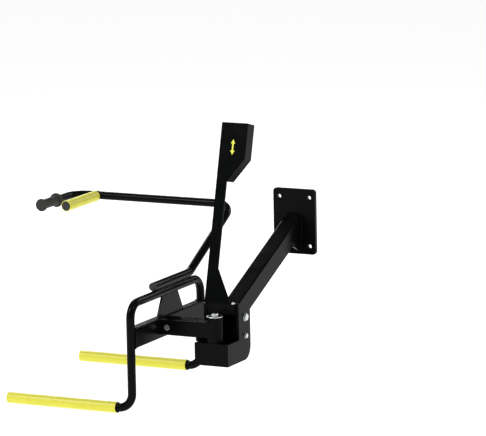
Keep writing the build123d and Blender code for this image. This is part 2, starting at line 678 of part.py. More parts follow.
def mast_plate():
    """One flat plate: flared foot, narrow mast and the pod's front face."""
    strip = flat([
        (0, 0),
        (MAST_FOOT_WIDTH, 0),
        (MAST_WIDTH, MAST_FLARE),
        (MAST_WIDTH, POD_BOTTOM + POD_CORNER),
        (0, POD_BOTTOM + POD_CORNER),
    ])
    plate = in_mast(extrude(strip + pod_outline(), amount=-MAST_THICKNESS))
    arm = upright_plate(arm_profile(0), ARM_X - ARM_WIDTH / 2, ARM_X + ARM_WIDTH / 2)
    return plate - side_plate(-1) - head_plate() - arm


def pod_shell():
    """Bent sheet that closes the pod's sides, behind the mast plate."""
    ring = pod_outline() - pod_outline(POD_SHEET)
    depth = POD_DEPTH - MAST_THICKNESS - POD_SHEET
    shell = extrude(ring, amount=-depth)
    gland = Pos(GLAND_ACROSS, POD_BOTTOM - 1, 0) * Rot(-90, 0, 0) * Cylinder(
        M12["thread"] + CAP_FIT, 3 * POD_SHEET, align=(Align.CENTER, Align.CENTER, Align.MIN)
    )
    placed = Pos(0, 0, -MAST_THICKNESS) * shell
    return in_mast(placed - Pos(0, 0, -gland_depth()) * gland)


def gland_depth():
    return MAST_THICKNESS + (POD_DEPTH - MAST_THICKNESS) / 2


def cover_screw_places():
    """Screw centres on the pod's back cover, in mast coordinates."""
    low = POD_CHAMFER_TOP + COVER_SCREW_INSET
    high = POD_TOP - COVER_SCREW_INSET
    right = POD_WIDTH - COVER_SCREW_INSET
    return [(COVER_SCREW_INSET, high), (right, high), (right, low), (COVER_SCREW_INSET, low)]


def pod_back_cover():
    """Flat cover on the back of the pod, with the lever's slot and four screw holes."""
    face = pod_outline()
    face -= Pos(VALVE_ACROSS, lever_s()) * Rectangle(LEVER_WIDTH + 3, 2 * LEVER_SLOT_HALF)
    for a, s in cover_screw_places():
        face -= Pos(a, s) * Circle(M6["thread"] * 0.7 + CAP_FIT)
    return in_mast(Pos(0, 0, -POD_DEPTH + POD_SHEET) * extrude(face, amount=-POD_SHEET))


def cover_screws():
    """Round-headed cover screws."""
    radius = M6["thread"] * 0.7
    screws = []
    for a, s in cover_screw_places():
        shank = Pos(a, s, -POD_DEPTH) * extrude(Circle(radius), amount=9)
        head = Pos(a, s, -POD_DEPTH) * extrude(Circle(2 * radius), amount=-2.4)
        screws.append(in_mast(shank + head))
    return Compound(screws)


def hose_gland():
    """Gland in the pod's floor where the air hoses enter."""
    seat = Pos(GLAND_ACROSS, POD_BOTTOM, -gland_depth()) * Rot(90, 0, 0)
    nut = extrude(RegularPolygon(9, 6, major_radius=False), amount=7)
    throat = Pos(0, 0, 7) * extrude(Circle(7.5), amount=6)
    neck = extrude(Circle(M12["thread"]), amount=-8)
    bore = Pos(0, 0, -9) * extrude(Circle(4), amount=25)
    return in_mast(seat * (nut + throat + neck - bore))


# ---- Hand valve ----
def lever_s():
    """Height of the lever's pivot along the mast."""
    return VALVE_BOTTOM + VALVE_LENGTH / 2


def valve_body():
    """Valve block with the spool bore, the finger window and the lever's two ears."""
    centre_s = lever_s()
    block = Pos(VALVE_ACROSS, centre_s, -(VALVE_FRONT + VALVE_BACK) / 2) * Box(
        VALVE_WIDTH, VALVE_LENGTH, VALVE_BACK - VALVE_FRONT
    )
    ear_x = LEVER_WIDTH / 2 + EAR_GAP + EAR_THICKNESS / 2
    ear_depth = LEVER_PIVOT_DEPTH + LEVER_HUB_RADIUS - VALVE_BACK
    for side in (-1, 1):
        block += Pos(VALVE_ACROSS + side * ear_x, centre_s, -VALVE_BACK - ear_depth / 2) * Box(
            EAR_THICKNESS, 2 * LEVER_HUB_RADIUS, ear_depth
        )
    spool_bore = Pos(VALVE_ACROSS, centre_s, -SPOOL_DEPTH) * Rot(90, 0, 0) * Cylinder(
        SPOOL_RADIUS + RUNNING_FIT, VALVE_LENGTH + 2
    )
    window = Pos(VALVE_ACROSS, centre_s, -(SPOOL_DEPTH + VALVE_BACK + 1) / 2) * Box(
        LEVER_WIDTH + 2 * EAR_GAP, 2 * (LEVER_HUB_RADIUS + 2), VALVE_BACK + 1 - SPOOL_DEPTH
    )
    pin_hole = Pos(VALVE_ACROSS, centre_s, -LEVER_PIVOT_DEPTH) * Rot(0, 90, 0) * Cylinder(
        LEVER_PIN_RADIUS + BUSH_FIT, VALVE_WIDTH
    )
    return in_mast(block - spool_bore - window - pin_hole)


def valve_spool():
    """Spool that the lever's finger pushes up or down through a groove."""
    spool = Pos(VALVE_ACROSS, lever_s(), -SPOOL_DEPTH) * Rot(90, 0, 0) * Cylinder(
        SPOOL_RADIUS, VALVE_LENGTH + 2 * SPOOL_OVERHANG
    )
    ring = Cylinder(SPOOL_RADIUS + 1, SPOOL_GROOVE) - Cylinder(SPOOL_GROOVE_RADIUS, SPOOL_GROOVE)
    groove = Pos(VALVE_ACROSS, lever_s(), -SPOOL_DEPTH) * Rot(90, 0, 0) * ring
    return in_mast(spool - groove)


def lever_pin():
    length = LEVER_WIDTH + 2 * EAR_GAP + 2 * EAR_THICKNESS
    pin = Rot(0, 90, 0) * Cylinder(LEVER_PIN_RADIUS, length)
    return in_mast(Pos(VALVE_ACROSS, lever_s(), -LEVER_PIVOT_DEPTH) * pin)


def control_lever():
    """Lever on the pin: a finger forward into the spool's groove and an arm back through the cover."""
    hub = Rot(0, 90, 0) * Cylinder(LEVER_HUB_RADIUS, LEVER_WIDTH)
    finger_length = LEVER_PIVOT_DEPTH - LEVER_FINGER_END
    finger = Pos(0, 0, finger_length / 2) * Box(LEVER_FINGER_WIDTH, LEVER_FINGER_THICKNESS, finger_length)
    arm = Pos(0, 0, -LEVER_LENGTH / 2) * Box(LEVER_WIDTH, LEVER_THICKNESS, LEVER_LENGTH)
    bore = Rot(0, 90, 0) * Cylinder(LEVER_PIN_RADIUS + RUNNING_FIT, LEVER_WIDTH + 2)
    return in_mast(Pos(VALVE_ACROSS, lever_s(), -LEVER_PIVOT_DEPTH) * (hub + finger + arm - bore))


def lever_knob():
    """Round plastic knob on the lever, with a rounded end."""
    start = LEVER_LENGTH - 14.0
    knob = Pos(0, 0, -start - KNOB_LENGTH / 2) * Cylinder(KNOB_RADIUS, KNOB_LENGTH)
    knob = fillet(knob.edges().filter_by(GeomType.CIRCLE), 3.5)
    socket = Pos(0, 0, -LEVER_LENGTH / 2) * Box(
        LEVER_WIDTH + CAP_FIT, LEVER_THICKNESS + CAP_FIT, LEVER_LENGTH + CAP_FIT
    )
    return in_mast(Pos(VALVE_ACROSS, lever_s(), -LEVER_PIVOT_DEPTH) * (knob - socket))


def hose_fittings():
    """Two push-in fittings under the valve block."""
    fittings = []
    for side in (-1, 1):
        across = VALVE_ACROSS + side * (VALVE_WIDTH / 2 - 6)
        seat = Pos(across, VALVE_BOTTOM, -SPOOL_DEPTH) * Rot(90, 0, 0)
        body = extrude(RegularPolygon(4.5, 6, major_radius=False), amount=6)
        collar = Pos(0, 0, 6) * extrude(Circle(4.8), amount=9)
        bore = Pos(0, 0, 3) * extrude(Circle(2.0), amount=15)
        fittings.append(in_mast(seat * (body + collar - bore)))
    return Compound(fittings)


def arrow_sign():
    """Thin double-headed arrow on the pod's front: up and down."""
    half = ARROW_HEIGHT / 2
    neck = half - ARROW_HEAD_HEIGHT
    head = ARROW_HEAD_WIDTH / 2
    shaft = ARROW_SHAFT_WIDTH / 2
    right_side = [(0, half), (head, neck), (shaft, neck), (shaft, -neck), (head, -neck), (0, -half)]
    left_side = [(-a, s) for a, s in reversed(right_side[1:-1])]
    arrow = extrude(flat(right_side + left_side), amount=ARROW_THICKNESS)
    return in_mast(Pos(VALVE_ACROSS, ARROW_CENTRE_S, 0) * arrow)


PARTS = {
    "mounting_flange": mounting_flange,
    "flange_ribs": flange_ribs,
    "lift_arm": lift_arm,
    "head_bolt": head_bolt,
    "arm_seat_plate": seat_plate,
    "left_side_plate": lambda: side_plate(-1),
    "right_side_plate": lambda: side_plate(1),
    "bracket_wrap": bracket_wrap,
    "head_plate": head_plate,
    "spacer_bar": spacer_bar,
    "upper_side_bolt": lambda: side_bolt(M12_LOW, UPPER_BOLT_Z),
    "lower_side_bolt": lambda: side_bolt(M8_LOW, LOWER_BOLT_Z),
    "side_bolt_washers": side_washers,
    "pivot_boss": pivot_boss,
    "pivot_post": pivot_post,
    "thrust_washer": thrust_washer,
    "pivot_top_washer": top_washer,
    "pivot_top_bolt": top_bolt,
    "mast_plate": mast_plate,
    "arrow_sign": arrow_sign,
    "pod_shell": pod_shell,
    "pod_back_cover": pod_back_cover,
    "cover_screws": cover_screws,
    "hose_gland": hose_gland,
    "valve_body": valve_body,
    "hose_fittings": hose_fittings,
    "lever_pin": lever_pin,
    "valve_spool": valve_spool,
    "control_lever": control_lever,
    "lever_knob": lever_knob,
    "swing_barrel": swing_barrel,
    "upper_bush": lambda: barrel_bush(BARREL_TOP - BUSH_LENGTH),
    "lower_bush": lambda: barrel_bush(BARREL_BOTTOM),
    "swing_arm": swing_arm,
    "stop_lug": stop_lug,
    "stop_screw": stop_screw,
    "fork_tongue": fork_tongue,
    "tongue_bolt": tongue_bolt,
    "tongue_nut": tongue_nut,
    "crossmember": crossmember,
    "gusset_plate": gusset_plate,
    "fork_frame": fork_frame,
    "near_tine_sleeve": lambda: sleeve(*sleeve_tips()[0]),
    "far_tine_sleeve": lambda: sleeve(*sleeve_tips()[1]),
    "retaining_sleeve": lambda: sleeve(*sleeve_tips()[2]),
    "sleeve_caps": sleeve_caps,
    "sleeve_collars": sleeve_collars,
    "handle_tube": handle_tube,
    "handle_cap": handle_cap,
    "handle_saddle": handle_saddle,
    "retaining_bar": retaining_bar,
    "hand_grip": hand_grip,
}


def main():
    os.makedirs("parts", exist_ok=True)
    to_mount = Pos(-ARM_X, -MOUNT_Y, -MOUNT_Z)
    for name, make in PARTS.items():
        export_step(to_mount * make(), f"parts/{name}.step")
    pivot = (-ARM_X, -MOUNT_Y, -MOUNT_Z)
    lever = MAST_PLANE.from_local_coords(Vector(VALVE_ACROSS, lever_s(), -LEVER_PIVOT_DEPTH)) + Vector(*pivot)
    print("swing axis through", [round(v, 3) for v in pivot])
    print("lever pivot at", [round(v, 3) for v in lever])
    print("near tine tip at", [round(v, 3) for v in (TINE_TIP_X - ARM_X, NEAR_Y - MOUNT_Y, NEAR_TINE_Z - MOUNT_Z)])
    print("far tine tip at", [round(v, 3) for v in (TINE_TIP_X - ARM_X, FAR_Y - MOUNT_Y, FAR_TINE_Z - MOUNT_Z)])


main()
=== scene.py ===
# %% [markdown]
# # A swing-arm wheel lift, finished for looking at
# The model arrives as solid pieces, already in metres and already in place. This notebook gives each
# piece its real finish, swaps a few plain solids for finer ones, and adds the weld beads that hold
# the steel together. Then it sets a floor, soft light and a camera.

# %% Load the frame and note its size
import json
import math

import bmesh
import bpy
import numpy as np
from mathutils import Matrix, Vector


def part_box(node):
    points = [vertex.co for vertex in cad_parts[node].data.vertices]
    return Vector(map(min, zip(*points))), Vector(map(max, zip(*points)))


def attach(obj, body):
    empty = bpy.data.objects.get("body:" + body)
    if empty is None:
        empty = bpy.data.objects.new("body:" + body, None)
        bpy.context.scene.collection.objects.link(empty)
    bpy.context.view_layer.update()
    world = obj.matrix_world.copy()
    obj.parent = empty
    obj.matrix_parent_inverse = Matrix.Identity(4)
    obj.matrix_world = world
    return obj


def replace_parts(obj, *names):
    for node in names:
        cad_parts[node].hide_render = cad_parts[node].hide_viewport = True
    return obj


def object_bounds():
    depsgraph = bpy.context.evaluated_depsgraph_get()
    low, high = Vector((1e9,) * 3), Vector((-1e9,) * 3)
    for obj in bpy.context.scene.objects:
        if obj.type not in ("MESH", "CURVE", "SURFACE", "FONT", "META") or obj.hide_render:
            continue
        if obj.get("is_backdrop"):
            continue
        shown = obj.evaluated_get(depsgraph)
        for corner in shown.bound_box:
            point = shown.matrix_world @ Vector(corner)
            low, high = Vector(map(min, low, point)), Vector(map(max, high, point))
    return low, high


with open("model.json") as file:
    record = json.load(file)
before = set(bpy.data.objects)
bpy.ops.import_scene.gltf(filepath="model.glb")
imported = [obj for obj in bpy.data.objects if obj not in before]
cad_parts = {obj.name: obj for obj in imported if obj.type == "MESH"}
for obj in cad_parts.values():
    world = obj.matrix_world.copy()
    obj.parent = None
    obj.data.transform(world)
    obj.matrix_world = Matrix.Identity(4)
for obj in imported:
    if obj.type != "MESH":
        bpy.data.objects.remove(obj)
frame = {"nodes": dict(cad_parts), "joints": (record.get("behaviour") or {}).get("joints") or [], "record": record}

cad_size = [[float(v) for v in corner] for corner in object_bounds()]
nodes = frame["nodes"]
print("pieces:", len(nodes), "box:", cad_size)

# %% [markdown]
# ## Three small tools
# Colours are given as sRGB hex values, but shaders work in linear light, so one function
# converts them. A second adds a shader node with its settings and links. A third reads a piece's box.

# %% Colour, node and box helpers
MM = 0.001


def paint(hex_value):
    """sRGB hex to linear RGBA: each channel c is ((c + 0.055) / 1.055) ** 2.4, or c / 12.92 if tiny."""
    srgb = [int(hex_value[i:i + 2], 16) / 255 for i in (1, 3, 5)]
    return tuple(c / 12.92 if c <= 0.04045 else ((c + 0.055) / 1.055) ** 2.4 for c in srgb) + (1.0,)


def add(tree, kind, links=(), **settings):
    """Adds one node. A setting is a socket's value if a socket has that name, or else a property."""
    node = tree.nodes.new(kind)
    for key, value in settings.items():
        socket = next((s for s in node.inputs if s.name.replace(" ", "_").lower() == key), None)
        if socket is None:
            setattr(node, key, value)
        else:
            socket.default_value = value
    for output, name in links:
        tree.links.new(output, node.inputs[name])
    return node


def box(name):
    """A piece's lowest and highest corner as arrays, in metres."""
    low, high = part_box(name)
    return np.array(low, float), np.array(high, float)


print("black is", [round(v, 4) for v in paint("#101111")])

# %% [markdown]
# ## Powder coat
# The steel is coated with satin black polyester powder: dry powder is sprayed on, then melted in an
# oven. It flows out almost flat, but keeps a faint orange peel, with bumps 2 to 3 mm apart. Handling
# leaves dull patches and a little dust, which show as slow changes in roughness.

# %% Satin black powder coat
powder_coat = bpy.data.materials.new("satin_black_powder_coat")
powder_coat.use_nodes = True
tree = powder_coat.node_tree
tree.nodes.clear()
place = add(tree, "ShaderNodeTexCoord").outputs["Object"]
peel = add(
    tree, "ShaderNodeTexNoise", [(place, "Vector")],
    scale=1 / (2.6 * MM), detail=1.0, roughness=0.4,
)
cloud = add(
    tree, "ShaderNodeTexNoise", [(place, "Vector")],
    scale=1 / (70 * MM), detail=5.0, roughness=0.62,
)
speck = add(
    tree, "ShaderNodeTexNoise", [(place, "Vector")],
    scale=1 / (0.9 * MM), detail=2.0, roughness=0.7,
)
tone = add(tree, "ShaderNodeMix", data_type="RGBA")
tree.links.new(cloud.outputs["Fac"], tone.inputs[0])
tone.inputs[6].default_value = paint("#050606")
tone.inputs[7].default_value = paint("#0C0D0D")
dust = add(
    tree, "ShaderNodeMapRange", [(speck.outputs["Fac"],
    "Value")], from_min=0.66, from_max=0.8, to_min=0.0, to_max=0.35,
)
dusted = add(tree, "ShaderNodeMix", data_type="RGBA")
tree.links.new(dust.outputs["Result"], dusted.inputs[0])
tree.links.new(tone.outputs[2], dusted.inputs[6])
dusted.inputs[7].default_value = paint("#1B1C1B")
rough = add(
    tree, "ShaderNodeMapRange", [(cloud.outputs["Fac"],
    "Value")], from_min=0.3, from_max=0.7, to_min=0.2, to_max=0.3,
)
bump = add(
    tree, "ShaderNodeBump", [(peel.outputs["Fac"],
    "Height")], strength=0.25, distance=0.00012,
)
shader = add(tree, "ShaderNodeBsdfPrincipled", [
    (dusted.outputs[2], "Base Color"), (rough.outputs["Result"], "Roughness"),
    (bump.outputs["Normal"], "Normal"),
], ior=1.5, specular_ior_level=0.05)
add(tree, "ShaderNodeOutputMaterial", [(shader.outputs["BSDF"], "Surface")])
print(powder_coat.name, len(tree.nodes), "nodes")

# %% [markdown]
# ## Zinc plate
# Bolts, nuts and washers are steel with bright zinc plate: a cool silver with a soft grain from the
# rolling and heading, and darker spots where the passivation is thin.

# %% Bright zinc plate
zinc_plate = bpy.data.materials.new("bright_zinc_plate")
zinc_plate.use_nodes = True
tree = zinc_plate.node_tree
tree.nodes.clear()
place = add(tree, "ShaderNodeTexCoord").outputs["Object"]
grain = add(
    tree, "ShaderNodeTexNoise", [(place, "Vector")],
    scale=1 / (1.2 * MM), detail=4.0, roughness=0.6,
)
stain = add(
    tree, "ShaderNodeTexNoise", [(place, "Vector")],
    scale=1 / (7 * MM), detail=3.0, roughness=0.5,
)
tone = add(tree, "ShaderNodeMix", data_type="RGBA")
tree.links.new(stain.outputs["Fac"], tone.inputs[0])
tone.inputs[6].default_value = paint("#C3C6C8")
tone.inputs[7].default_value = paint("#E6E8E8")
rough = add(
    tree, "ShaderNodeMapRange", [(grain.outputs["Fac"],
    "Value")], from_min=0.3, from_max=0.7, to_min=0.2, to_max=0.38,
)
bump = add(
    tree, "ShaderNodeBump", [(grain.outputs["Fac"],
    "Height")], strength=0.2, distance=0.00008,
)
shader = add(tree, "ShaderNodeBsdfPrincipled", [
    (tone.outputs[2], "Base Color"), (rough.outputs["Result"], "Roughness"),
    (bump.outputs["Normal"], "Normal"),
], metallic=1.0)
add(tree, "ShaderNodeOutputMaterial", [(shader.outputs["BSDF"], "Surface")])
print(zinc_plate.name, len(tree.nodes), "nodes")

# %% [markdown]
# ## Extruded yellow polyethylene
# The sleeves are thick extruded polyethylene tube, lime yellow and slightly waxy. Extrusion leaves
# fine lines along the tube, and tyres leave faint scuffs. The lines follow the tube, so the pattern
# reads the sleeve's own UV map: U runs round the tube and V along it, both in metres.

# %% Yellow polyethylene
yellow_sleeve = bpy.data.materials.new("extruded_yellow_polyethylene")
yellow_sleeve.use_nodes = True
tree = yellow_sleeve.node_tree
tree.nodes.clear()
around = add(tree, "ShaderNodeUVMap", uv_map="wrap").outputs["UV"]
place = add(tree, "ShaderNodeTexCoord").outputs["Object"]
stretch = add(tree, "ShaderNodeMapping", [(around, "Vector")], scale=(1.0, 0.02, 1.0))
lines = add(
    tree, "ShaderNodeTexNoise", [(stretch.outputs["Vector"],
    "Vector")], scale=1 / (1.6 * MM), detail=2.0, roughness=0.5,
)
mottle = add(
    tree, "ShaderNodeTexNoise", [(place, "Vector")],
    scale=1 / (28 * MM), detail=4.0, roughness=0.55,
)
scuff = add(
    tree, "ShaderNodeTexNoise", [(place, "Vector")],
    scale=1 / (5 * MM), detail=5.0, roughness=0.7,
)
tone = add(tree, "ShaderNodeMix", data_type="RGBA")
tree.links.new(mottle.outputs["Fac"], tone.inputs[0])
tone.inputs[6].default_value = paint("#DBD436")
tone.inputs[7].default_value = paint("#EAE650")
scuffed = add(
    tree, "ShaderNodeMapRange", [(scuff.outputs["Fac"],
    "Value")], from_min=0.62, from_max=0.78, to_min=0.0, to_max=0.3,
)
worn = add(tree, "ShaderNodeMix", data_type="RGBA")
tree.links.new(scuffed.outputs["Result"], worn.inputs[0])
tree.links.new(tone.outputs[2], worn.inputs[6])
worn.inputs[7].default_value = paint("#B9AF38")
rough = add(
    tree, "ShaderNodeMapRange", [(scuff.outputs["Fac"],
    "Value")], from_min=0.3, from_max=0.8, to_min=0.38, to_max=0.56,
)
bump = add(
    tree, "ShaderNodeBump", [(lines.outputs["Fac"],
    "Height")], strength=0.3, distance=0.00015,
)
shader = add(tree, "ShaderNodeBsdfPrincipled", [
    (worn.outputs[2], "Base Color"), (rough.outputs["Result"], "Roughness"),
    (bump.outputs["Normal"], "Normal"),
], ior=1.5, subsurface_weight=0.08, subsurface_scale=0.002)
add(tree, "ShaderNodeOutputMaterial", [(shader.outputs["BSDF"], "Surface")])
print(yellow_sleeve.name, len(tree.nodes), "nodes")

# %% [markdown]
# ## Rubber and moulded plastic
# The grip is moulded rubber: matt, a touch warmer than the paint, with a fine dusty grain. Caps, the
# gland and the lever's knob are moulded nylon, whose mould was spark eroded, so they have an even,
# fine texture and a soft sheen.

# %% Moulded rubber
grip_rubber = bpy.data.materials.new("moulded_black_rubber")
grip_rubber.use_nodes = True
tree = grip_rubber.node_tree
tree.nodes.clear()
place = add(tree, "ShaderNodeTexCoord").outputs["Object"]
grain = add(
    tree, "ShaderNodeTexNoise", [(place, "Vector")],
    scale=1 / (0.8 * MM), detail=3.0, roughness=0.7,
)
bloom = add(
    tree, "ShaderNodeTexNoise", [(place, "Vector")],
    scale=1 / (22 * MM), detail=4.0, roughness=0.6,
)
tone = add(tree, "ShaderNodeMix", data_type="RGBA")
tree.links.new(bloom.outputs["Fac"], tone.inputs[0])
tone.inputs[6].default_value = paint("#161615")
tone.inputs[7].default_value = paint("#262524")
rough = add(
    tree, "ShaderNodeMapRange", [(grain.outputs["Fac"],
    "Value")], from_min=0.3, from_max=0.7, to_min=0.55, to_max=0.75,
)
bump = add(
    tree, "ShaderNodeBump", [(grain.outputs["Fac"],
    "Height")], strength=0.35, distance=0.00015,
)
shader = add(tree, "ShaderNodeBsdfPrincipled", [
    (tone.outputs[2], "Base Color"), (rough.outputs["Result"], "Roughness"),
    (bump.outputs["Normal"], "Normal"),
], ior=1.5)
add(tree, "ShaderNodeOutputMaterial", [(shader.outputs["BSDF"], "Surface")])
print(grip_rubber.name, len(tree.nodes), "nodes")

# %% Moulded nylon
moulded_nylon = bpy.data.materials.new("moulded_black_nylon")
moulded_nylon.use_nodes = True
tree = moulded_nylon.node_tree
tree.nodes.clear()
place = add(tree, "ShaderNodeTexCoord").outputs["Object"]
erosion = add(tree, "ShaderNodeTexVoronoi", [(place, "Vector")], scale=1 / (0.7 * MM))
cloud = add(
    tree, "ShaderNodeTexNoise", [(place, "Vector")],
    scale=1 / (15 * MM), detail=3.0, roughness=0.5,
)
tone = add(tree, "ShaderNodeMix", data_type="RGBA")
tree.links.new(cloud.outputs["Fac"], tone.inputs[0])
tone.inputs[6].default_value = paint("#101010")
tone.inputs[7].default_value = paint("#1B1B1C")
rough = add(
    tree, "ShaderNodeMapRange", [(cloud.outputs["Fac"],
    "Value")], from_min=0.3, from_max=0.7, to_min=0.38, to_max=0.52,
)
bump = add(
    tree, "ShaderNodeBump", [(erosion.outputs["Distance"],
    "Height")], strength=0.3, distance=0.0001,
)
shader = add(tree, "ShaderNodeBsdfPrincipled", [
    (tone.outputs[2], "Base Color"), (rough.outputs["Result"], "Roughness"),
    (bump.outputs["Normal"], "Normal"),
], ior=1.53)
add(tree, "ShaderNodeOutputMaterial", [(shader.outputs["BSDF"], "Surface")])
print(moulded_nylon.name, len(tree.nodes), "nodes")

# %% [markdown]
# ## Bare metals and the sign
# The bushes are oil bronze and the post, pin, spool and lever are ground steel. The valve block is
# clear anodised aluminium, and its hose fittings are nickel-plated brass. Each is the same small
# recipe: a colour that wanders a little, and fine machining marks a fraction of a millimetre apart.
# The sign is printed vinyl film, flat and even with a slight haze.

# %% Bare metals
bare_metals = {}
for metal, dark, light, dull, mark in (
    ("oil_bronze", "#8A6A3C", "#B08A50", 0.36, 0.5),
    ("ground_steel", "#8F9193", "#B4B6B8", 0.26, 0.3),
    ("clear_anodised_aluminium", "#8D9093", "#A5A8AA", 0.42, 0.35),
    ("nickel_plated_brass", "#B3B0A6", "#D3D0C6", 0.22, 0.6),
):
    made = bpy.data.materials.new(metal)
    made.use_nodes = True
    tree = made.node_tree
    tree.nodes.clear()
    place = add(tree, "ShaderNodeTexCoord").outputs["Object"]
    along = add(tree, "ShaderNodeMapping", [(place, "Vector")], scale=(0.15, 1.0, 1.0))
    marks = add(
        tree, "ShaderNodeTexNoise", [(along.outputs["Vector"],
        "Vector")], scale=1 / (mark * MM), detail=2.0,
    )
    cloud = add(
        tree, "ShaderNodeTexNoise", [(place, "Vector")],
        scale=1 / (9 * MM), detail=3.0, roughness=0.5,
    )
    tone = add(tree, "ShaderNodeMix", data_type="RGBA")
    tree.links.new(cloud.outputs["Fac"], tone.inputs[0])
    tone.inputs[6].default_value = paint(dark)
    tone.inputs[7].default_value = paint(light)
    rough = add(
        tree, "ShaderNodeMapRange", [(marks.outputs["Fac"],
        "Value")], from_min=0.3, from_max=0.7, to_min=dull - 0.06, to_max=dull + 0.1,
    )
    bump = add(
        tree, "ShaderNodeBump", [(marks.outputs["Fac"],
        "Height")], strength=0.2, distance=0.00005,
    )
    shader = add(tree, "ShaderNodeBsdfPrincipled", [
        (tone.outputs[2], "Base Color"), (rough.outputs["Result"], "Roughness"),
        (bump.outputs["Normal"], "Normal"),
    ], metallic=1.0)
    add(tree, "ShaderNodeOutputMaterial", [(shader.outputs["BSDF"], "Surface")])
    bare_metals[metal] = made
print("metals:", sorted(bare_metals))

# %% Printed film
sign_film = bpy.data.materials.new("printed_vinyl_film")
sign_film.use_nodes = True
tree = sign_film.node_tree
tree.nodes.clear()
place = add(tree, "ShaderNodeTexCoord").outputs["Object"]
haze = add(
    tree, "ShaderNodeTexNoise", [(place, "Vector")],
    scale=1 / (4 * MM), detail=3.0, roughness=0.5,
)
tone = add(tree, "ShaderNodeMix", data_type="RGBA")
tree.links.new(haze.outputs["Fac"], tone.inputs[0])
tone.inputs[6].default_value = paint("#E8E83C")
tone.inputs[7].default_value = paint("#F2F25A")
rough = add(
    tree, "ShaderNodeMapRange", [(haze.outputs["Fac"],
    "Value")], from_min=0.3, from_max=0.7, to_min=0.32, to_max=0.42,
)
shader = add(tree, "ShaderNodeBsdfPrincipled", [
    (tone.outputs[2], "Base Color"), (rough.outputs["Result"], "Roughness"),
], ior=1.5)
add(tree, "ShaderNodeOutputMaterial", [(shader.outputs["BSDF"], "Surface")])
print(sign_film.name, len(tree.nodes), "nodes")

# %% [markdown]
# ## Dress the CAD pieces
# Every piece gets the finish that its record slot names. Sheet and tube edges are also softened: a
# real cut edge is deburred and the powder rounds it further, to a radius near 0.6 mm. That small
# round catches the light, and it is what makes a black part readable. A Weld modifier joins the
# mesh's loose triangles first, and Bevel then rounds only the sharp edges.

# %% Finish and edges
finish_of_slot = {
    "black_paint": powder_coat,
    "zinc_plate": zinc_plate,
    "ground_steel": bare_metals["ground_steel"],
    "bronze": bare_metals["oil_bronze"],
    "nickel_brass": bare_metals["nickel_plated_brass"],
    "anodised_aluminium": bare_metals["clear_anodised_aluminium"],
    "yellow_plastic": yellow_sleeve,
    "yellow_sign": sign_film,
    "black_plastic": moulded_nylon,
    "black_rubber": grip_rubber,
}
slot_of = {entry["node"]: entry["material_slot"] for entry in frame["record"]["subparts"]}
for name, piece in nodes.items():
    piece.data.materials.clear()
    piece.data.materials.append(finish_of_slot[slot_of[name]])

SOFT_EDGES = {
    "left_side_plate": 0.8, "right_side_plate": 0.8, "bracket_wrap": 0.6, "head_plate": 0.6,
    "mast_plate": 0.7, "pod_back_cover": 0.4, "gusset_plate": 0.7, "mounting_flange": 0.8,
    "flange_ribs": 0.6, "arm_seat_plate": 0.5, "stop_lug": 0.5, "swing_barrel": 0.8, "sleeve_collars": 0.8,
}
for name, radius in SOFT_EDGES.items():
    join = nodes[name].modifiers.new("join_triangles", "WELD")
    join.merge_threshold = 0.00001
    soften = nodes[name].modifiers.new("soft_edges", "BEVEL")
    soften.width = radius * MM
    soften.segments = 2
    soften.limit_method = "ANGLE"
    soften.angle_limit = math.radians(40)
    even = nodes[name].modifiers.new("flat_shading", "WEIGHTED_NORMAL")
    even.weight = 100
print("softened:", len(SOFT_EDGES), "pieces")

# %% [markdown]
# ## One way to make a surface
# Every finer piece below is a grid of points worked out from two parameters, rows and columns. The
# helper turns that grid into a mesh, closes its seam and poles by merging the points that coincide,
# and points the faces outwards.

# %% Grid to mesh
def skin(name, grid, finish, body, wrap_rows=False, sharp=38, uv=None):
    """Mesh over a grid of points (rows, columns, 3). The columns always wrap round; the rows may too."""
    rows, columns = grid.shape[:2]
    r = np.arange(rows if wrap_rows else rows - 1)[:, None]
    c = np.arange(columns)[None, :]
    r2, c2 = (r + 1) % rows, (c + 1) % columns
    faces = np.stack([r * columns + c, r * columns + c2, r2 * columns + c2, r2 * columns + c], axis=-1)
    faces = faces.reshape(-1, 4)
    mesh = bpy.data.meshes.new(name)
    mesh.from_pydata(grid.reshape(-1, 3).tolist(), [], faces.tolist())
    if uv is not None:
        turn, run = uv
        u = np.stack([c + 0 * r, c + 1 + 0 * r, c + 1 + 0 * r, c + 0 * r], axis=-1) / columns * turn
        v = np.stack([r + 0 * c, r + 0 * c, r + 1 + 0 * c, r + 1 + 0 * c], axis=-1) / rows * run
        layer = mesh.uv_layers.new(name="wrap")
        layer.data.foreach_set("uv", np.stack([u, v], axis=-1).reshape(-1).astype(np.float32))
    work = bmesh.new()
    work.from_mesh(mesh)
    bmesh.ops.remove_doubles(work, verts=work.verts, dist=0.000002)
    bmesh.ops.recalc_face_normals(work, faces=work.faces)
    work.to_mesh(mesh)
    work.free()
    mesh.polygons.foreach_set("use_smooth", [True] * len(mesh.polygons))
    mesh.set_sharp_from_angle(angle=math.radians(sharp))
    mesh.materials.append(finish)
    piece = bpy.data.objects.new(name, mesh)
    bpy.context.collection.objects.link(piece)
    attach(piece, body)
    return piece


def frame_across(axis):
    """Two unit vectors square to an axis and to each other."""
    axis = np.array(axis, float) / np.linalg.norm(axis)
    helper = np.array([0.0, 0.0, 1.0]) if abs(axis[2]) < 0.9 else np.array([1.0, 0.0, 0.0])
    first = np.cross(helper, axis)
    first /= np.linalg.norm(first)
    return axis, first, np.cross(axis, first)


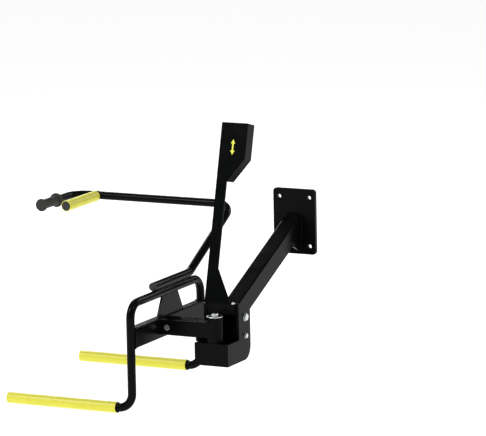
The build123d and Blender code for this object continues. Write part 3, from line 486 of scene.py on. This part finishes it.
def turned(origin, axis, along, radius):
    """Grid of a lathe-turned form: origin + along * axis + radius * (cos t, sin t) across the axis.

    radius may be one number for each point of along, or a whole (rows, columns) array.
    """
    axis, first, second = frame_across(axis)
    columns = 96 if np.ndim(radius) == 1 else np.shape(radius)[1]
    t = np.linspace(0, 2 * np.pi, columns, endpoint=False)
    along = np.asarray(along, float)[:, None, None]
    radius = np.broadcast_to(np.reshape(radius, (len(along), -1)), (len(along), columns))[..., None]
    ring = np.cos(t)[:, None] * first + np.sin(t)[:, None] * second
    return np.asarray(origin, float) + along * axis + radius * ring


print("surface tools ready")

# %% [markdown]
# ## Sleeves
# Such sleeves are cut from tube, and the saw edge is taken off with a hand scraper. A turned form
# with small rounded lips shows that. The wall is a closed ring of points: out along
# the outside, round the lip, and back along the bore.

# %% Three yellow sleeves
def sleeve(node, body, axis_index):
    """Tube wall as one closed ring: lips rounded by quarter circles, and a counterbore at the tip."""
    low, high = box(node)
    across = [i for i in range(3) if i != axis_index]
    centre = (low + high) / 2
    outer = (high[across[0]] - low[across[0]]) / 2
    wall, lip = 4.0 * MM, 1.3 * MM
    bore = outer - wall
    tip_centre = centre.copy()
    tip_centre[axis_index] = low[axis_index]
    run = high[axis_index] - low[axis_index]
    q = np.linspace(0, np.pi / 2, 6)
    middle = np.linspace(0.02, 0.98, 40)
    unevenness = 0.05 * MM
    bow = unevenness * np.sin(middle * 9 * np.pi)
    sink, sink_radius = 3.3 * MM, 15 * MM
    along = [lip - lip * np.cos(q), middle * run, run - lip + lip * np.sin(q), [run, sink, sink, 0.0]]
    tip = outer - lip + lip * np.sin(q)
    root = outer - lip + lip * np.cos(q)
    radius = [tip, outer - unevenness + bow, root, [bore, bore, sink_radius, sink_radius]]
    axis = np.eye(3)[axis_index]
    grid = turned(tip_centre, axis, np.concatenate(along), np.concatenate(radius))
    unrolled = (2 * np.pi * outer, 2 * run)
    piece = skin("yellow_" + node, grid, yellow_sleeve, body, wrap_rows=True, uv=unrolled)
    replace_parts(piece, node)
    print(piece.name, "outside", round(outer / MM * 2, 1), "mm, run", round(run / MM), "mm")


sleeve("near_tine_sleeve", "near_roller", 0)
sleeve("far_tine_sleeve", "far_roller", 0)
sleeve("retaining_sleeve", "retainer_roller", 1)

# %% [markdown]
# ## Caps
# A push-in tube cap has a slightly domed face, a rounded rim, and thin fins on its plug that grip
# the bore. In a sleeve the rim sits in the counterbore, so that the face is flush with the sleeve's
# tip. The fins are hidden once a cap is fitted, but they show in a cutaway or an exploded view.

# %% Tube caps
def cap(name, seat, outward, rim):
    """Turned cap: plug with four fins (a square wave along it), rim, then a face domed by 0.4 mm."""
    core, fin_height, fin_pitch, rim_round = 9.0 * MM, 1.0 * MM, 4.2, 0.6
    plug = np.linspace(-18, -1.0, 60) * MM
    fins = core + fin_height * (np.cos(plug / MM * 2 * np.pi / fin_pitch) > 0.35)
    s = np.linspace(0, np.pi / 2, 6)
    face = np.linspace(0.9, 0.0, 8)
    edge, dome = (2.0 + rim_round * np.sin(s)) * MM, (2.6 + 0.4 * (1 - face ** 2)) * MM
    along = np.concatenate([plug[:1], plug, [0.0, 0.0], edge, dome])
    rounded = rim - rim_round * MM * (1 - np.cos(s))
    radius = np.concatenate([[0.0], fins, [core, rim], rounded, face * rim])
    return skin(name, turned(seat, outward, along, radius), moulded_nylon, "swing")


CAP_DEPTH = 3 * MM  # from a cap's seat to its domed face


for node, axis_index in (("near_tine_sleeve", 0), ("far_tine_sleeve", 0), ("retaining_sleeve", 1)):
    low, high = box(node)
    seat = (low + high) / 2
    seat[axis_index] = low[axis_index] + CAP_DEPTH
    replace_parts(cap(node + "_cap", seat, -np.eye(3)[axis_index], 14.7 * MM), "sleeve_caps")
low, high = box("handle_cap")
seat = (low + high) / 2
seat[1] = low[1] + CAP_DEPTH
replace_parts(cap("handle_end_cap", seat, (0, -1, 0), 12.6 * MM), "handle_cap")
print("four caps made")

# %% [markdown]
# ## Grip
# The grip is one rubber moulding with a ring at each end, the one by its open end larger, and
# shallow ribs between them. Ribs are made by adding a rounded wave, 5 mm from crest to crest, to the
# radius of a turned form.

# %% Ribbed rubber grip
low, high = box("hand_grip")
run = high[1] - low[1]
BODY, BORE = 14.3 * MM, 12.8 * MM
RIB_HEIGHT, RIB_PITCH = 0.7 * MM, 5 * MM
RING_WIDTH, RING_FILLET, RING_EDGE = 8 * MM, 3 * MM, 1.4 * MM
a = np.linspace(0, 1, 161) * run
from_end = np.minimum(a, run - a)
flange = np.where(a < run / 2, 22.0, 19.5) * MM
edge = np.clip((RING_WIDTH - from_end) / RING_FILLET, 0, 1)
ring = edge * edge * (3 - 2 * edge)
wave = RIB_HEIGHT * np.abs(np.sin(np.pi * a / RIB_PITCH)) * (edge <= 0)
radius = BODY + wave + (flange - BODY) * ring
rim = np.clip(from_end / RING_EDGE, 0, 1)
radius = radius - RING_EDGE * (1 - np.sqrt(1 - (1 - rim) ** 2))
face = np.linspace(0.98, 0.0, 10)
along = np.concatenate([[run - 4 * MM, run - 4 * MM, 0.0], a, run - 0.5 * MM * (1 - face ** 2)])
radius = np.concatenate([[0.0, BORE, BORE], radius, face * radius[-1]])
open_end = ((low[0] + high[0]) / 2, high[1], (low[2] + high[2]) / 2)
grip_grid = turned(open_end, (0, -1, 0), along, radius)
grip = skin("ribbed_grip", grip_grid, grip_rubber, "swing")
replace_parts(grip, "hand_grip")
print("grip ribs:", int(run / RIB_PITCH), "run", round(run / MM), "mm")

# %% [markdown]
# ## Bolts
# A hex head is a hexagonal bar whose top has been turned to a cone, so each corner is cut to a
# curve. Taking the smaller of the hexagon's radius and the cone's radius at every angle gives just
# that shape. The thread is a cylinder whose radius follows a triangle wave that climbs as it turns,
# and it runs the whole length of the shank.

# %% Hex heads and threads
def hex_radius(t, flats):
    """Centre to a hexagon's side at angle t: half the flats / cos(angle from the side's middle)."""
    return flats / 2 / np.cos((t + np.pi / 6) % (np.pi / 3) - np.pi / 6)


HEX = {  # thread radius, width across flats, head height
    "m6": (3 * MM, 10 * MM, 4 * MM),
    "m8_low": (4 * MM, 13 * MM, 4.5 * MM),
    "m10": (5 * MM, 16 * MM, 6.4 * MM),
    "m12_low": (6 * MM, 19 * MM, 5 * MM),
    "m12": (6 * MM, 19 * MM, 7.5 * MM),
}


def bolt(name, stands_for, size, axis_index, side, length, body, black=False):
    """Head: min(hexagon, cone) over a washer face. Shank: a helical thread with a tapered tip."""
    thread, flats, head = HEX[size]
    outward = side * np.eye(3)[axis_index]
    seat = seat_of(stands_for, axis_index, side, head)
    t = np.linspace(0, 2 * np.pi, 96, endpoint=False)
    across = hex_radius(t, flats)
    z = np.array([0.0, 0.04, 0.04, 0.3, 0.6, 0.78, 0.86, 0.93, 1.0, 1.0, 0.97]) * head
    cone = np.array([0.94, 0.94, 2, 2, 2, 1.13, 1.08, 1.03, 0.98, 0.9, 0.0]) * flats / 2
    top = np.minimum(cone[:, None], across[None, :])
    pitch = 0.27 * thread + 0.15 * MM
    s = np.linspace(-length, -0.15 * MM, 200)
    climb = (s[:, None] / pitch - t[None, :] / (2 * np.pi)) % 1.0
    lead_in = np.clip(1 - (s[:, None] + length) / (1.2 * MM), 0, 1)
    cut = 0.2 * lead_in + 0.13 * np.abs(2 * climb - 1)
    shank = thread * (1 - cut) * np.ones((1, 96))
    tip_row = np.zeros((1, 96))
    along = np.concatenate([[-length], s, [0.0], z])
    radius = np.concatenate([tip_row, shank, shank[-1:], top])
    grid = turned(seat, outward, along, radius)
    finish = (powder_coat, "black_paint") if black else (zinc_plate, "zinc_plate")
    piece = skin(name, grid, finish[0], body, sharp=32)
    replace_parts(piece, stands_for)


def seat_of(node, axis_index, side, head):
    """Middle of a bolt's seat: centred on the node's box, one head below the box's outer side."""
    low, high = box(node)
    seat = (low + high) / 2
    seat[axis_index] = high[axis_index] - head if side > 0 else low[axis_index] + head
    return seat


bolt("pivot_hex_bolt", "pivot_top_bolt", "m12", 2, 1, 30 * MM, "base")
bolt("upper_side_hex_bolt", "upper_side_bolt", "m12_low", 0, 1, 30.6 * MM, "base")
bolt("lower_side_hex_bolt", "lower_side_bolt", "m8_low", 0, 1, 30.6 * MM, "base")
bolt("tongue_hex_bolt", "tongue_bolt", "m10", 1, -1, 61 * MM, "swing")
bolt("head_hex_bolt", "head_bolt", "m6", 2, 1, 12 * MM, "base")
bolt("stop_hex_screw", "stop_screw", "m6", 1, -1, 52.7 * MM, "swing", black=True)
print("six bolts made")

# %% [markdown]
# ## Nut and washers
# A washer is punched, so one edge is rounded and the other sharp. The nut is the hexagon again,
# coned at both ends, with the thread's lead-in cut as a small cone.

# %% Washers and nut
def washer(name, centre, outward, outer, hole, thick, body):
    """Ring of four corners with the outer edges rounded by quarter circles of 0.35 of the thickness."""
    e = 0.35 * thick
    q = np.linspace(0, np.pi / 2, 5)
    along = np.concatenate([[0.0], e - e * np.cos(q), thick - e + e * np.sin(q), [thick]])
    radius = np.concatenate([[hole], outer - e + e * np.sin(q), outer - e + e * np.cos(q), [hole]])
    grid = turned(centre, outward, along, radius)
    return skin(name, grid, zinc_plate, body, wrap_rows=True)


low, high = box("pivot_top_washer")
foot = ((low[0] + high[0]) / 2, (low[1] + high[1]) / 2, low[2])
ring = washer("pivot_washer", foot, (0, 0, 1), 25 * MM, 6.5 * MM, 3 * MM, "base")
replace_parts(ring, "pivot_top_washer")
side_face = box("side_bolt_washers")[0][0]
for node, outer, hole in (("upper_side_bolt", 12, 6.5), ("lower_side_bolt", 8, 4.5)):
    low, high = box(node)
    spot = (low + high) / 2
    spot[0] = side_face
    ring = washer(node + "_washer", spot, (1, 0, 0), outer * MM, hole * MM, 1.6 * MM, "base")
    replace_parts(ring, "side_bolt_washers")
NUT_HEIGHT, NUT_FLATS = 8 * MM, 16 * MM
low, high = box("tongue_nut")
t = np.linspace(0, 2 * np.pi, 96, endpoint=False)
z = np.array([0.0, 0.0, 0.1, 0.22, 0.5, 0.78, 0.9, 1.0, 1.0, 0.9, 0.1]) * NUT_HEIGHT
cone = np.array([0.68, 0.95, 1.06, 1.16, 2, 1.16, 1.06, 0.95, 0.68, 0.65, 0.65]) * NUT_FLATS / 2
nut_seat = ((low[0] + high[0]) / 2, low[1], (low[2] + high[2]) / 2)
nut_radius = np.minimum(cone[:, None], hex_radius(t, NUT_FLATS)[None, :])
nut_grid = turned(nut_seat, (0, 1, 0), z, nut_radius)
nut = skin("tongue_hex_nut", nut_grid, zinc_plate, "swing", wrap_rows=True, sharp=32)
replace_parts(nut, "tongue_nut")
print("washers and nut made")

# %% [markdown]
# ## Weld beads
# Each weld is a row of small overlapping puddles. Carrying a circle along the joint, with a radius
# that swells and shrinks every 2.5 mm, gives that ripple. The circle is half buried in the steel, so
# only the fillet shows, and it fades to nothing at both ends, where the welder starts and stops.

# %% Bead along a path
def bead(name, path, body, size=2.2, looped=False):
    """Circle carried along a path: radius = size * (0.86 + 0.2 |sin|) * slow wander * end fade."""
    step, puddle = 0.62 * MM, 2.5 * MM
    path = np.asarray(path, float)
    if looped:
        path = np.vstack([path, path[:1]])
    steps = np.linalg.norm(np.diff(path, axis=0), axis=1)
    s = np.concatenate([[0.0], np.cumsum(steps)])
    count = max(int(s[-1] / step), 12)
    even = np.linspace(0, s[-1], count, endpoint=not looped)
    centre = np.stack([np.interp(even, s, path[:, i]) for i in range(3)], axis=-1)
    run = np.gradient(centre, axis=0)
    run /= np.linalg.norm(run, axis=1)[:, None] + 1e-12
    lean = np.array([0.31, 0.43, 0.85])
    first = np.cross(run, lean)
    first /= np.linalg.norm(first, axis=1)[:, None]
    second = np.cross(run, first)
    ripple = 0.86 + 0.2 * np.abs(np.sin(np.pi * even / puddle))
    wander = 1 + 0.08 * np.sin(even / (9 * MM)) + 0.05 * np.sin(even / (3.7 * MM) + 1.3)
    to_end = np.minimum(even, s[-1] - even) / (1.5 * size * MM)
    fade = np.ones(count) if looped else np.clip(to_end, 0, 1) ** 0.5
    radius = size * MM * ripple * wander * fade
    t = np.linspace(0, 2 * np.pi, 12, endpoint=False)
    grid = centre[:, None, :] + radius[:, None, None] * (
        np.cos(t)[None, :, None] * first[:, None, :] + np.sin(t)[None, :, None] * second[:, None, :]
    )
    return skin(name, grid, powder_coat, body, wrap_rows=looped, sharp=80)


def arc_points(centre, radius, angle, z):
    """A level circle at height z: centre + radius * (cos angle, sin angle), angles from +X."""
    x = centre[0] + radius * np.cos(angle)
    y = centre[1] + radius * np.sin(angle)
    return np.stack([x, y, np.full_like(angle, z)], axis=-1)


cross_low, cross_high = box("crossmember")
gusset_low, gusset_high = box("gusset_plate")
fork_low, fork_high = box("fork_frame")
leg_x = (cross_low[0] + cross_high[0]) / 2
tube_radius = 12.7 * MM
cross_half, gusset_half = 14 * MM, 44 * MM
for word, side, end_y, leg_y in (
    ("near", 1, cross_low[1], fork_low[1] + tube_radius),
    ("far", -1, cross_high[1], fork_high[1] - tube_radius),
):
    angle = side * np.pi / 2 - side * np.linspace(-1.15, 1.15, 25)
    rows = []
    for z, turn in ((cross_low[2], 1), (cross_high[2], -1)):
        arc = arc_points((leg_x, leg_y), tube_radius, angle, z)
        corners = np.array([(leg_x - cross_half, end_y, z), (leg_x + cross_half, end_y, z)])
        rows.append(np.vstack([corners[:1], arc, corners[1:]])[::turn])
    bead(f"crossmember_{word}_weld", np.vstack(rows), "swing", 2.3, looped=True)
for word, x in (("front", gusset_low[0]), ("rear", gusset_high[0])):
    foot = [(x, gusset_low[1] + 2 * MM, cross_high[2]), (x, gusset_high[1] - 2 * MM, cross_high[2])]
    bead(f"gusset_foot_{word}_weld", foot, "swing", 2.0)
bar_z = fork_high[2] - tube_radius
gusset_middle = (gusset_low[1] + gusset_high[1]) / 2
for word, x in (("front", gusset_low[0]), ("rear", gusset_high[0])):
    z = bar_z - math.sqrt(max(tube_radius ** 2 - (x - leg_x) ** 2, 0))
    seam = [(x, gusset_middle + half, z - 0.4 * MM) for half in (-gusset_half, gusset_half)]
    bead(f"gusset_head_{word}_weld", seam, "swing", 1.8)
print("crossmember and gusset welds made")

# %% Pivot, retaining bar and saddle welds
barrel_radius = 25 * MM
barrel_low, barrel_high = box("swing_barrel")
pivot = (barrel_low + barrel_high) / 2
arm_low, arm_high = box("swing_arm")
a = np.linspace(np.pi / 2 + 0.1, 3 * np.pi / 2 - 0.1, 60)
for word, z in (("upper", arm_high[2]), ("lower", arm_low[2])):
    bead(f"barrel_{word}_weld", arc_points(pivot, barrel_radius, a, z), "swing", 2.4)
stub_low, stub_high = box("retaining_bar")
stub_x = (stub_low[0] + stub_high[0]) / 2
stub_z = (stub_low[2] + stub_high[2]) / 2
rail_y = box("handle_tube")[1][1] - tube_radius
p = np.linspace(0, 2 * np.pi, 120, endpoint=False)
across, up = tube_radius * np.cos(p), tube_radius * np.sin(p)
crease = np.stack([stub_x + across, rail_y - np.abs(across), stub_z + up], axis=-1)
bead("retaining_bar_weld", crease, "swing", 1.8, looped=True)
saddle_low, saddle_high = box("handle_saddle")
saddle_z = (saddle_low[2] + saddle_high[2]) / 2
for hand, x in (("left", saddle_low[0]), ("right", saddle_high[0])):
    seam = [(x, saddle_low[1], saddle_z), (x, saddle_high[1], saddle_z)]
    bead(f"saddle_{hand}_weld", seam, "swing", 2.0)
print("pivot, stub and saddle welds made")

# %% Bracket, mast, arm and flange welds
ARM_HEIGHT, ARM_SLOPE, SEAT_SLOPE = 58 * MM, math.radians(24), math.radians(22)
MAST_FOOT = 84 * MM
head_low, head_high = box("head_plate")
lift_low, lift_high = box("lift_arm")
plate_low, plate_high = box("right_side_plate")
mast_left = box("mast_plate")[0][0]
left_inside = box("left_side_plate")[1][0]
foot_y = head_low[1] + 0.3 * MM
foot = [(left_inside + 1 * MM, foot_y, head_high[2]), (mast_left + MAST_FOOT, foot_y, head_high[2])]
bead("mast_foot_weld", foot, "base", 1.9)
edge_y = head_low[1] + 7.5 * MM
for word, x in (("left", left_inside), ("right", plate_low[0])):
    seam = [(x, edge_y, head_low[2] + 1 * MM), (x, edge_y, head_high[2] - 1 * MM)]
    bead(f"head_plate_{word}_weld", seam, "base", 1.6)
foot_front = np.array([lift_low[0], lift_low[1] + 1 * MM, plate_high[2] - 0.6 * MM])
seat_drop = math.tan(SEAT_SLOPE) * (plate_high[1] - lift_low[1])
foot_rear = np.array([lift_low[0], plate_high[1] - 1 * MM, plate_high[2] - seat_drop + 0.4 * MM])
bead("arm_foot_side_weld", [foot_front, foot_rear], "base", 2.2)
rear_right = (lift_high[0] - 2 * MM, foot_rear[1], foot_rear[2])
bead("arm_foot_rear_weld", [foot_rear, rear_right], "base", 2.2)
end_top = lift_high[2]
end_low = end_top - ARM_HEIGHT / math.cos(ARM_SLOPE)
left, right, face = lift_low[0], lift_high[0], box("mounting_flange")[0][1]
ring = [(left, face, end_low), (right, face, end_low), (right, face, end_top), (left, face, end_top)]
bead("flange_arm_weld", ring, "base", 2.6, looped=True)
rib_low, rib_high = box("flange_ribs")
for word, x in (("left", rib_low[0]), ("right", rib_high[0])):
    bead(f"rib_{word}_weld", [(x, face, rib_low[2] + 1 * MM), (x, face, end_low)], "base", 1.9)
lug_low, lug_high = box("stop_lug")
for word, x in (("left", lug_low[0]), ("right", lug_high[0])):
    seam = [(x, lug_low[1] + 1 * MM, lug_high[2]), (x, lug_high[1] - 1 * MM, lug_high[2])]
    bead(f"lug_{word}_weld", seam, "swing", 1.5)
print("bracket, arm and flange welds made")

# %% [markdown]
# ## The pod's small parts
# The lever's knob, the hose gland, the two hose fittings and the cover screws are all turned forms.
# They sit on axes that lean with the mast, 15.2 degrees back from upright, so the lean is set once.

# %% Directions of the leaning mast
lean = math.radians(15.2)
up_mast = np.array([0, math.sin(lean), math.cos(lean)])
out_mast = np.array([0, -math.cos(lean), math.sin(lean)])
joints = {joint["name"]: joint for joint in frame["joints"]}
lever_pivot = np.array(joints["lever_tilt"]["pos_m"], float)
print("mast up", up_mast.round(3), "lever pivot", lever_pivot.round(4))

# %% Knob
s = np.linspace(0, 1, 60)
knob_run, knob_from_pivot = 26 * MM, 36 * MM
shape = 7.2 + 1.7 * np.sin(np.pi * np.clip(s * 1.15 - 0.1, 0, 1)) ** 1.5
round_end = np.sqrt(np.clip(1 - ((s - 0.86) / 0.14).clip(0, 1) ** 2, 0, 1))
round_start = np.sqrt(np.clip(1 - ((0.06 - s) / 0.06).clip(0, 1) ** 2, 0, 1)) * 0.3 + 0.7
knob_radius = shape * round_end * round_start * MM
along = np.concatenate([[0.0], s * knob_run])
knob_radius = np.concatenate([[0.0], knob_radius])
knob_grid = turned(lever_pivot - out_mast * knob_from_pivot, -out_mast, along, knob_radius)
knob = skin("lever_handle_knob", knob_grid, moulded_nylon, "lever")
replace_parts(knob, "lever_knob")
print(knob.name)

# %% Gland and hose fittings
low, high = box("hose_gland")
gland_middle = (low + high) / 2
t = np.linspace(0, 2 * np.pi, 96, endpoint=False)
z = np.array([-8, -8, 0, 0, 0.5, 3.0, 6.5, 7.2, 8.5, 11.5, 12.7, 12.9, 12.0, 6.0]) * MM
cone = np.array([4, 5.9, 5.9, 8.6, 9.4, 20, 20, 9.0, 8.2, 7.4, 6.0, 4.6, 4.0, 4.0]) * MM
gland_radius = np.minimum(cone[:, None], hex_radius(t, 18 * MM)[None, :])
gland_seat = gland_middle + up_mast * 2.6 * MM
gland_grid = turned(gland_seat, -up_mast, z, gland_radius)
gland = skin("hose_gland_nut", gland_grid, moulded_nylon, "base", wrap_rows=True, sharp=32)
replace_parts(gland, "hose_gland")
half_corner = 5.2 * MM
low, high = box("hose_fittings")
fit_middle = (low + high) / 2
z = np.array([0, 0, 0.4, 5.6, 6, 6, 8, 12.5, 13, 13, 14.8, 15, 15, 3]) * MM
cone = np.array([2, 4.2, 20, 20, 4.5, 3.9, 4.6, 4.6, 4.3, 3.4, 3.4, 3.2, 2, 2]) * MM
fit_radius = np.minimum(cone[:, None], hex_radius(t, 9 * MM)[None, :])
brass = bare_metals["nickel_plated_brass"]
for word, x in (("left", low[0] + half_corner), ("right", high[0] - half_corner)):
    spot = fit_middle + up_mast * 7.5 * MM
    spot[0] = x
    grid, name = turned(spot, -up_mast, z, fit_radius), f"{word}_hose_fitting"
    fitting = skin(name, grid, brass, "base", wrap_rows=True, sharp=32)
    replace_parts(fitting, "hose_fittings")
print("gland and fittings made")

# %% Cover screws
HEAD_WIDTH, SCREW_LENGTH, HEX_SOCKET = 8.4 * MM, 11.4 * MM, 2.6 * MM
low, high = box("cover_screws")
lean_extra = HEAD_WIDTH * math.cos(lean) + SCREW_LENGTH * math.sin(lean)
screw_run = (high[2] - low[2] - lean_extra) / math.cos(lean)
cover_middle = (low + high) / 2
t = np.linspace(0, 2 * np.pi, 72, endpoint=False)
z = np.array([-9, -9, 0, 0, 0.8, 1.5, 2.0, 2.3, 2.4, 2.4, 1.0, 1.0]) * MM
crown = np.array([0, 2.0, 2.0, 4.15, 4.1, 3.9, 3.4, 2.6, 1.6, 1.5, 1.5, 0]) * MM
screw_radius = np.repeat(crown[:, None], len(t), axis=1)
screw_radius[9:11] = np.minimum(screw_radius[9:11], hex_radius(t, HEX_SOCKET)[None, :])
number = 0
for part in (0, 1):
    for x in (low[0] + HEAD_WIDTH / 2, high[0] - HEAD_WIDTH / 2):
        number += 1
        spot = cover_middle + up_mast * screw_run * (part - 0.5) - out_mast * 3.3 * MM
        spot[0] = x
        grid = turned(spot, -out_mast, z, screw_radius)
        screw = skin(f"cover_screw_{number}", grid, zinc_plate, "base", sharp=32)
        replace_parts(screw, "cover_screws")
print("cover screws:", number, "rows", round(screw_run / MM, 1), "mm apart")

# %% [markdown]
# ## Floor
# The lift hangs from its flange, so the floor is just a wide white sheet a little below the tines. It
# is lit from within a little, like a light table, so that it stays white while the room stays dim.

# %% Floor
gap_below, half_width, cells = 8 * MM, 60, 12
floor_z = cad_size[0][2] - gap_below
sheet_paper = bpy.data.materials.new("white_light_table")
sheet_paper.use_nodes = True
tree = sheet_paper.node_tree
tree.nodes.clear()
place = add(tree, "ShaderNodeTexCoord").outputs["Object"]
fibre = add(tree, "ShaderNodeTexNoise", [(place, "Vector")], scale=12.0, detail=4.0, roughness=0.6)
tone = add(tree, "ShaderNodeMix", data_type="RGBA")
tree.links.new(fibre.outputs["Fac"], tone.inputs[0])
tone.inputs[6].default_value = paint("#B9BABA")
tone.inputs[7].default_value = paint("#C4C5C5")
shader = add(
    tree, "ShaderNodeBsdfPrincipled", [(tone.outputs[2],
    "Base Color")], roughness=0.9, ior=1.3, emission_color=(1, 1, 1, 1), emission_strength=0.88,
)
add(tree, "ShaderNodeOutputMaterial", [(shader.outputs["BSDF"], "Surface")])
line = np.linspace(-half_width, half_width, cells + 1)
x, y = np.meshgrid(line, line)
points = np.stack([x, y, np.full_like(x, floor_z)], axis=-1)
first = np.arange(cells)[:, None] * (cells + 1) + np.arange(cells)[None, :]
last = first + cells + 1
faces = np.stack([first, first + 1, last + 1, last], axis=-1).reshape(-1, 4)
sheet_mesh = bpy.data.meshes.new("studio_sheet")
sheet_mesh.from_pydata(points.reshape(-1, 3).tolist(), [], faces.tolist())
sheet_mesh.materials.append(sheet_paper)
studio_sheet = bpy.data.objects.new("studio_sheet", sheet_mesh)
bpy.context.collection.objects.link(studio_sheet)
studio_sheet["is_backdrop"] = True
print("floor at", round(floor_z, 4))

# %% [markdown]
# ## Light
# Black paint shows only what it reflects, so most of its light comes from the pale floor. A key
# softbox high on the front left shades the yellow sleeves and draws a line along the tops of the
# tubes. A weak one on the right and two behind keep the other sides readable. The room is dim.

# %% Lights and room
def softbox(name, spot, aim, width, height, power):
    """An area light at a spot, turned so that its -Z axis looks at the aim."""
    lamp = bpy.data.lights.new(name, "AREA")
    lamp.shape = "RECTANGLE"
    lamp.size, lamp.size_y, lamp.energy = width, height, power
    holder = bpy.data.objects.new(name, lamp)
    holder.location = spot
    holder.rotation_euler = (Vector(aim) - Vector(spot)).to_track_quat("-Z", "Y").to_euler()
    bpy.context.collection.objects.link(holder)


softbox("key_box", (-2.1, -3.2, 2.9), (-0.3, -0.4, 0.0), 1.2, 0.9, 130)
softbox("right_box", (3.4, -0.6, 2.6), (-0.2, -0.4, -0.1), 1.2, 1.2, 30)
softbox("back_left_box", (-3.0, 3.0, 2.0), (-0.3, -0.3, 0.0), 1.8, 1.4, 70)
softbox("back_right_box", (1.8, 3.6, 2.2), (-0.2, -0.3, 0.0), 1.8, 1.4, 60)
room = bpy.data.worlds.new("pale_room")
room.use_nodes = True
room.node_tree.nodes["Background"].inputs["Color"].default_value = (1.0, 1.0, 1.0, 1.0)
room.node_tree.nodes["Background"].inputs["Strength"].default_value = 0.14
bpy.context.scene.world = room
bpy.context.scene.view_settings.view_transform = "Standard"
print("four softboxes")

# %% [markdown]
# ## Camera
# The view is from the right and slightly above: 26.36 degrees round from the front, looking 10.26
# degrees down, with the camera tipped 1.07 degrees. A long lens keeps the edges nearly parallel.

# %% Camera
yaw, pitch, roll = math.radians(26.36), math.radians(10.26), math.radians(1.07)
forward = Vector((-math.sin(yaw) * math.cos(pitch), math.cos(yaw) * math.cos(pitch), -math.sin(pitch)))
level = Vector((math.cos(yaw), math.sin(yaw), 0))
down = forward.cross(level)
right = math.cos(roll) * level + math.sin(roll) * down
down = -math.sin(roll) * level + math.cos(roll) * down
lens = bpy.data.cameras.new("long_lens")
lens.sensor_width = 36.0
lens.lens = 303.7
lens.clip_start, lens.clip_end = 0.1, 200.0
camera = bpy.data.objects.new("camera", lens)
camera.matrix_world = Matrix((
    (right.x, -down.x, -forward.x, 5.3048),
    (right.y, -down.y, -forward.y, -11.0684),
    (right.z, -down.z, -forward.z, 2.2326),
    (0, 0, 0, 1),
))
bpy.context.collection.objects.link(camera)
bpy.context.scene.camera = camera
print("camera at", [round(v, 3) for v in camera.location])

# %% [markdown]
# ## Compare the finished size with the frame
# The finished pieces must not make the lift larger, so the largest change between the two boxes is printed.

# %% Compare both boxes
seen_size = [[float(v) for v in corner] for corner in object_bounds()]
change = np.abs(np.array(cad_size) - np.array(seen_size)).max()
print("largest change, mm:", round(change / MM, 3))
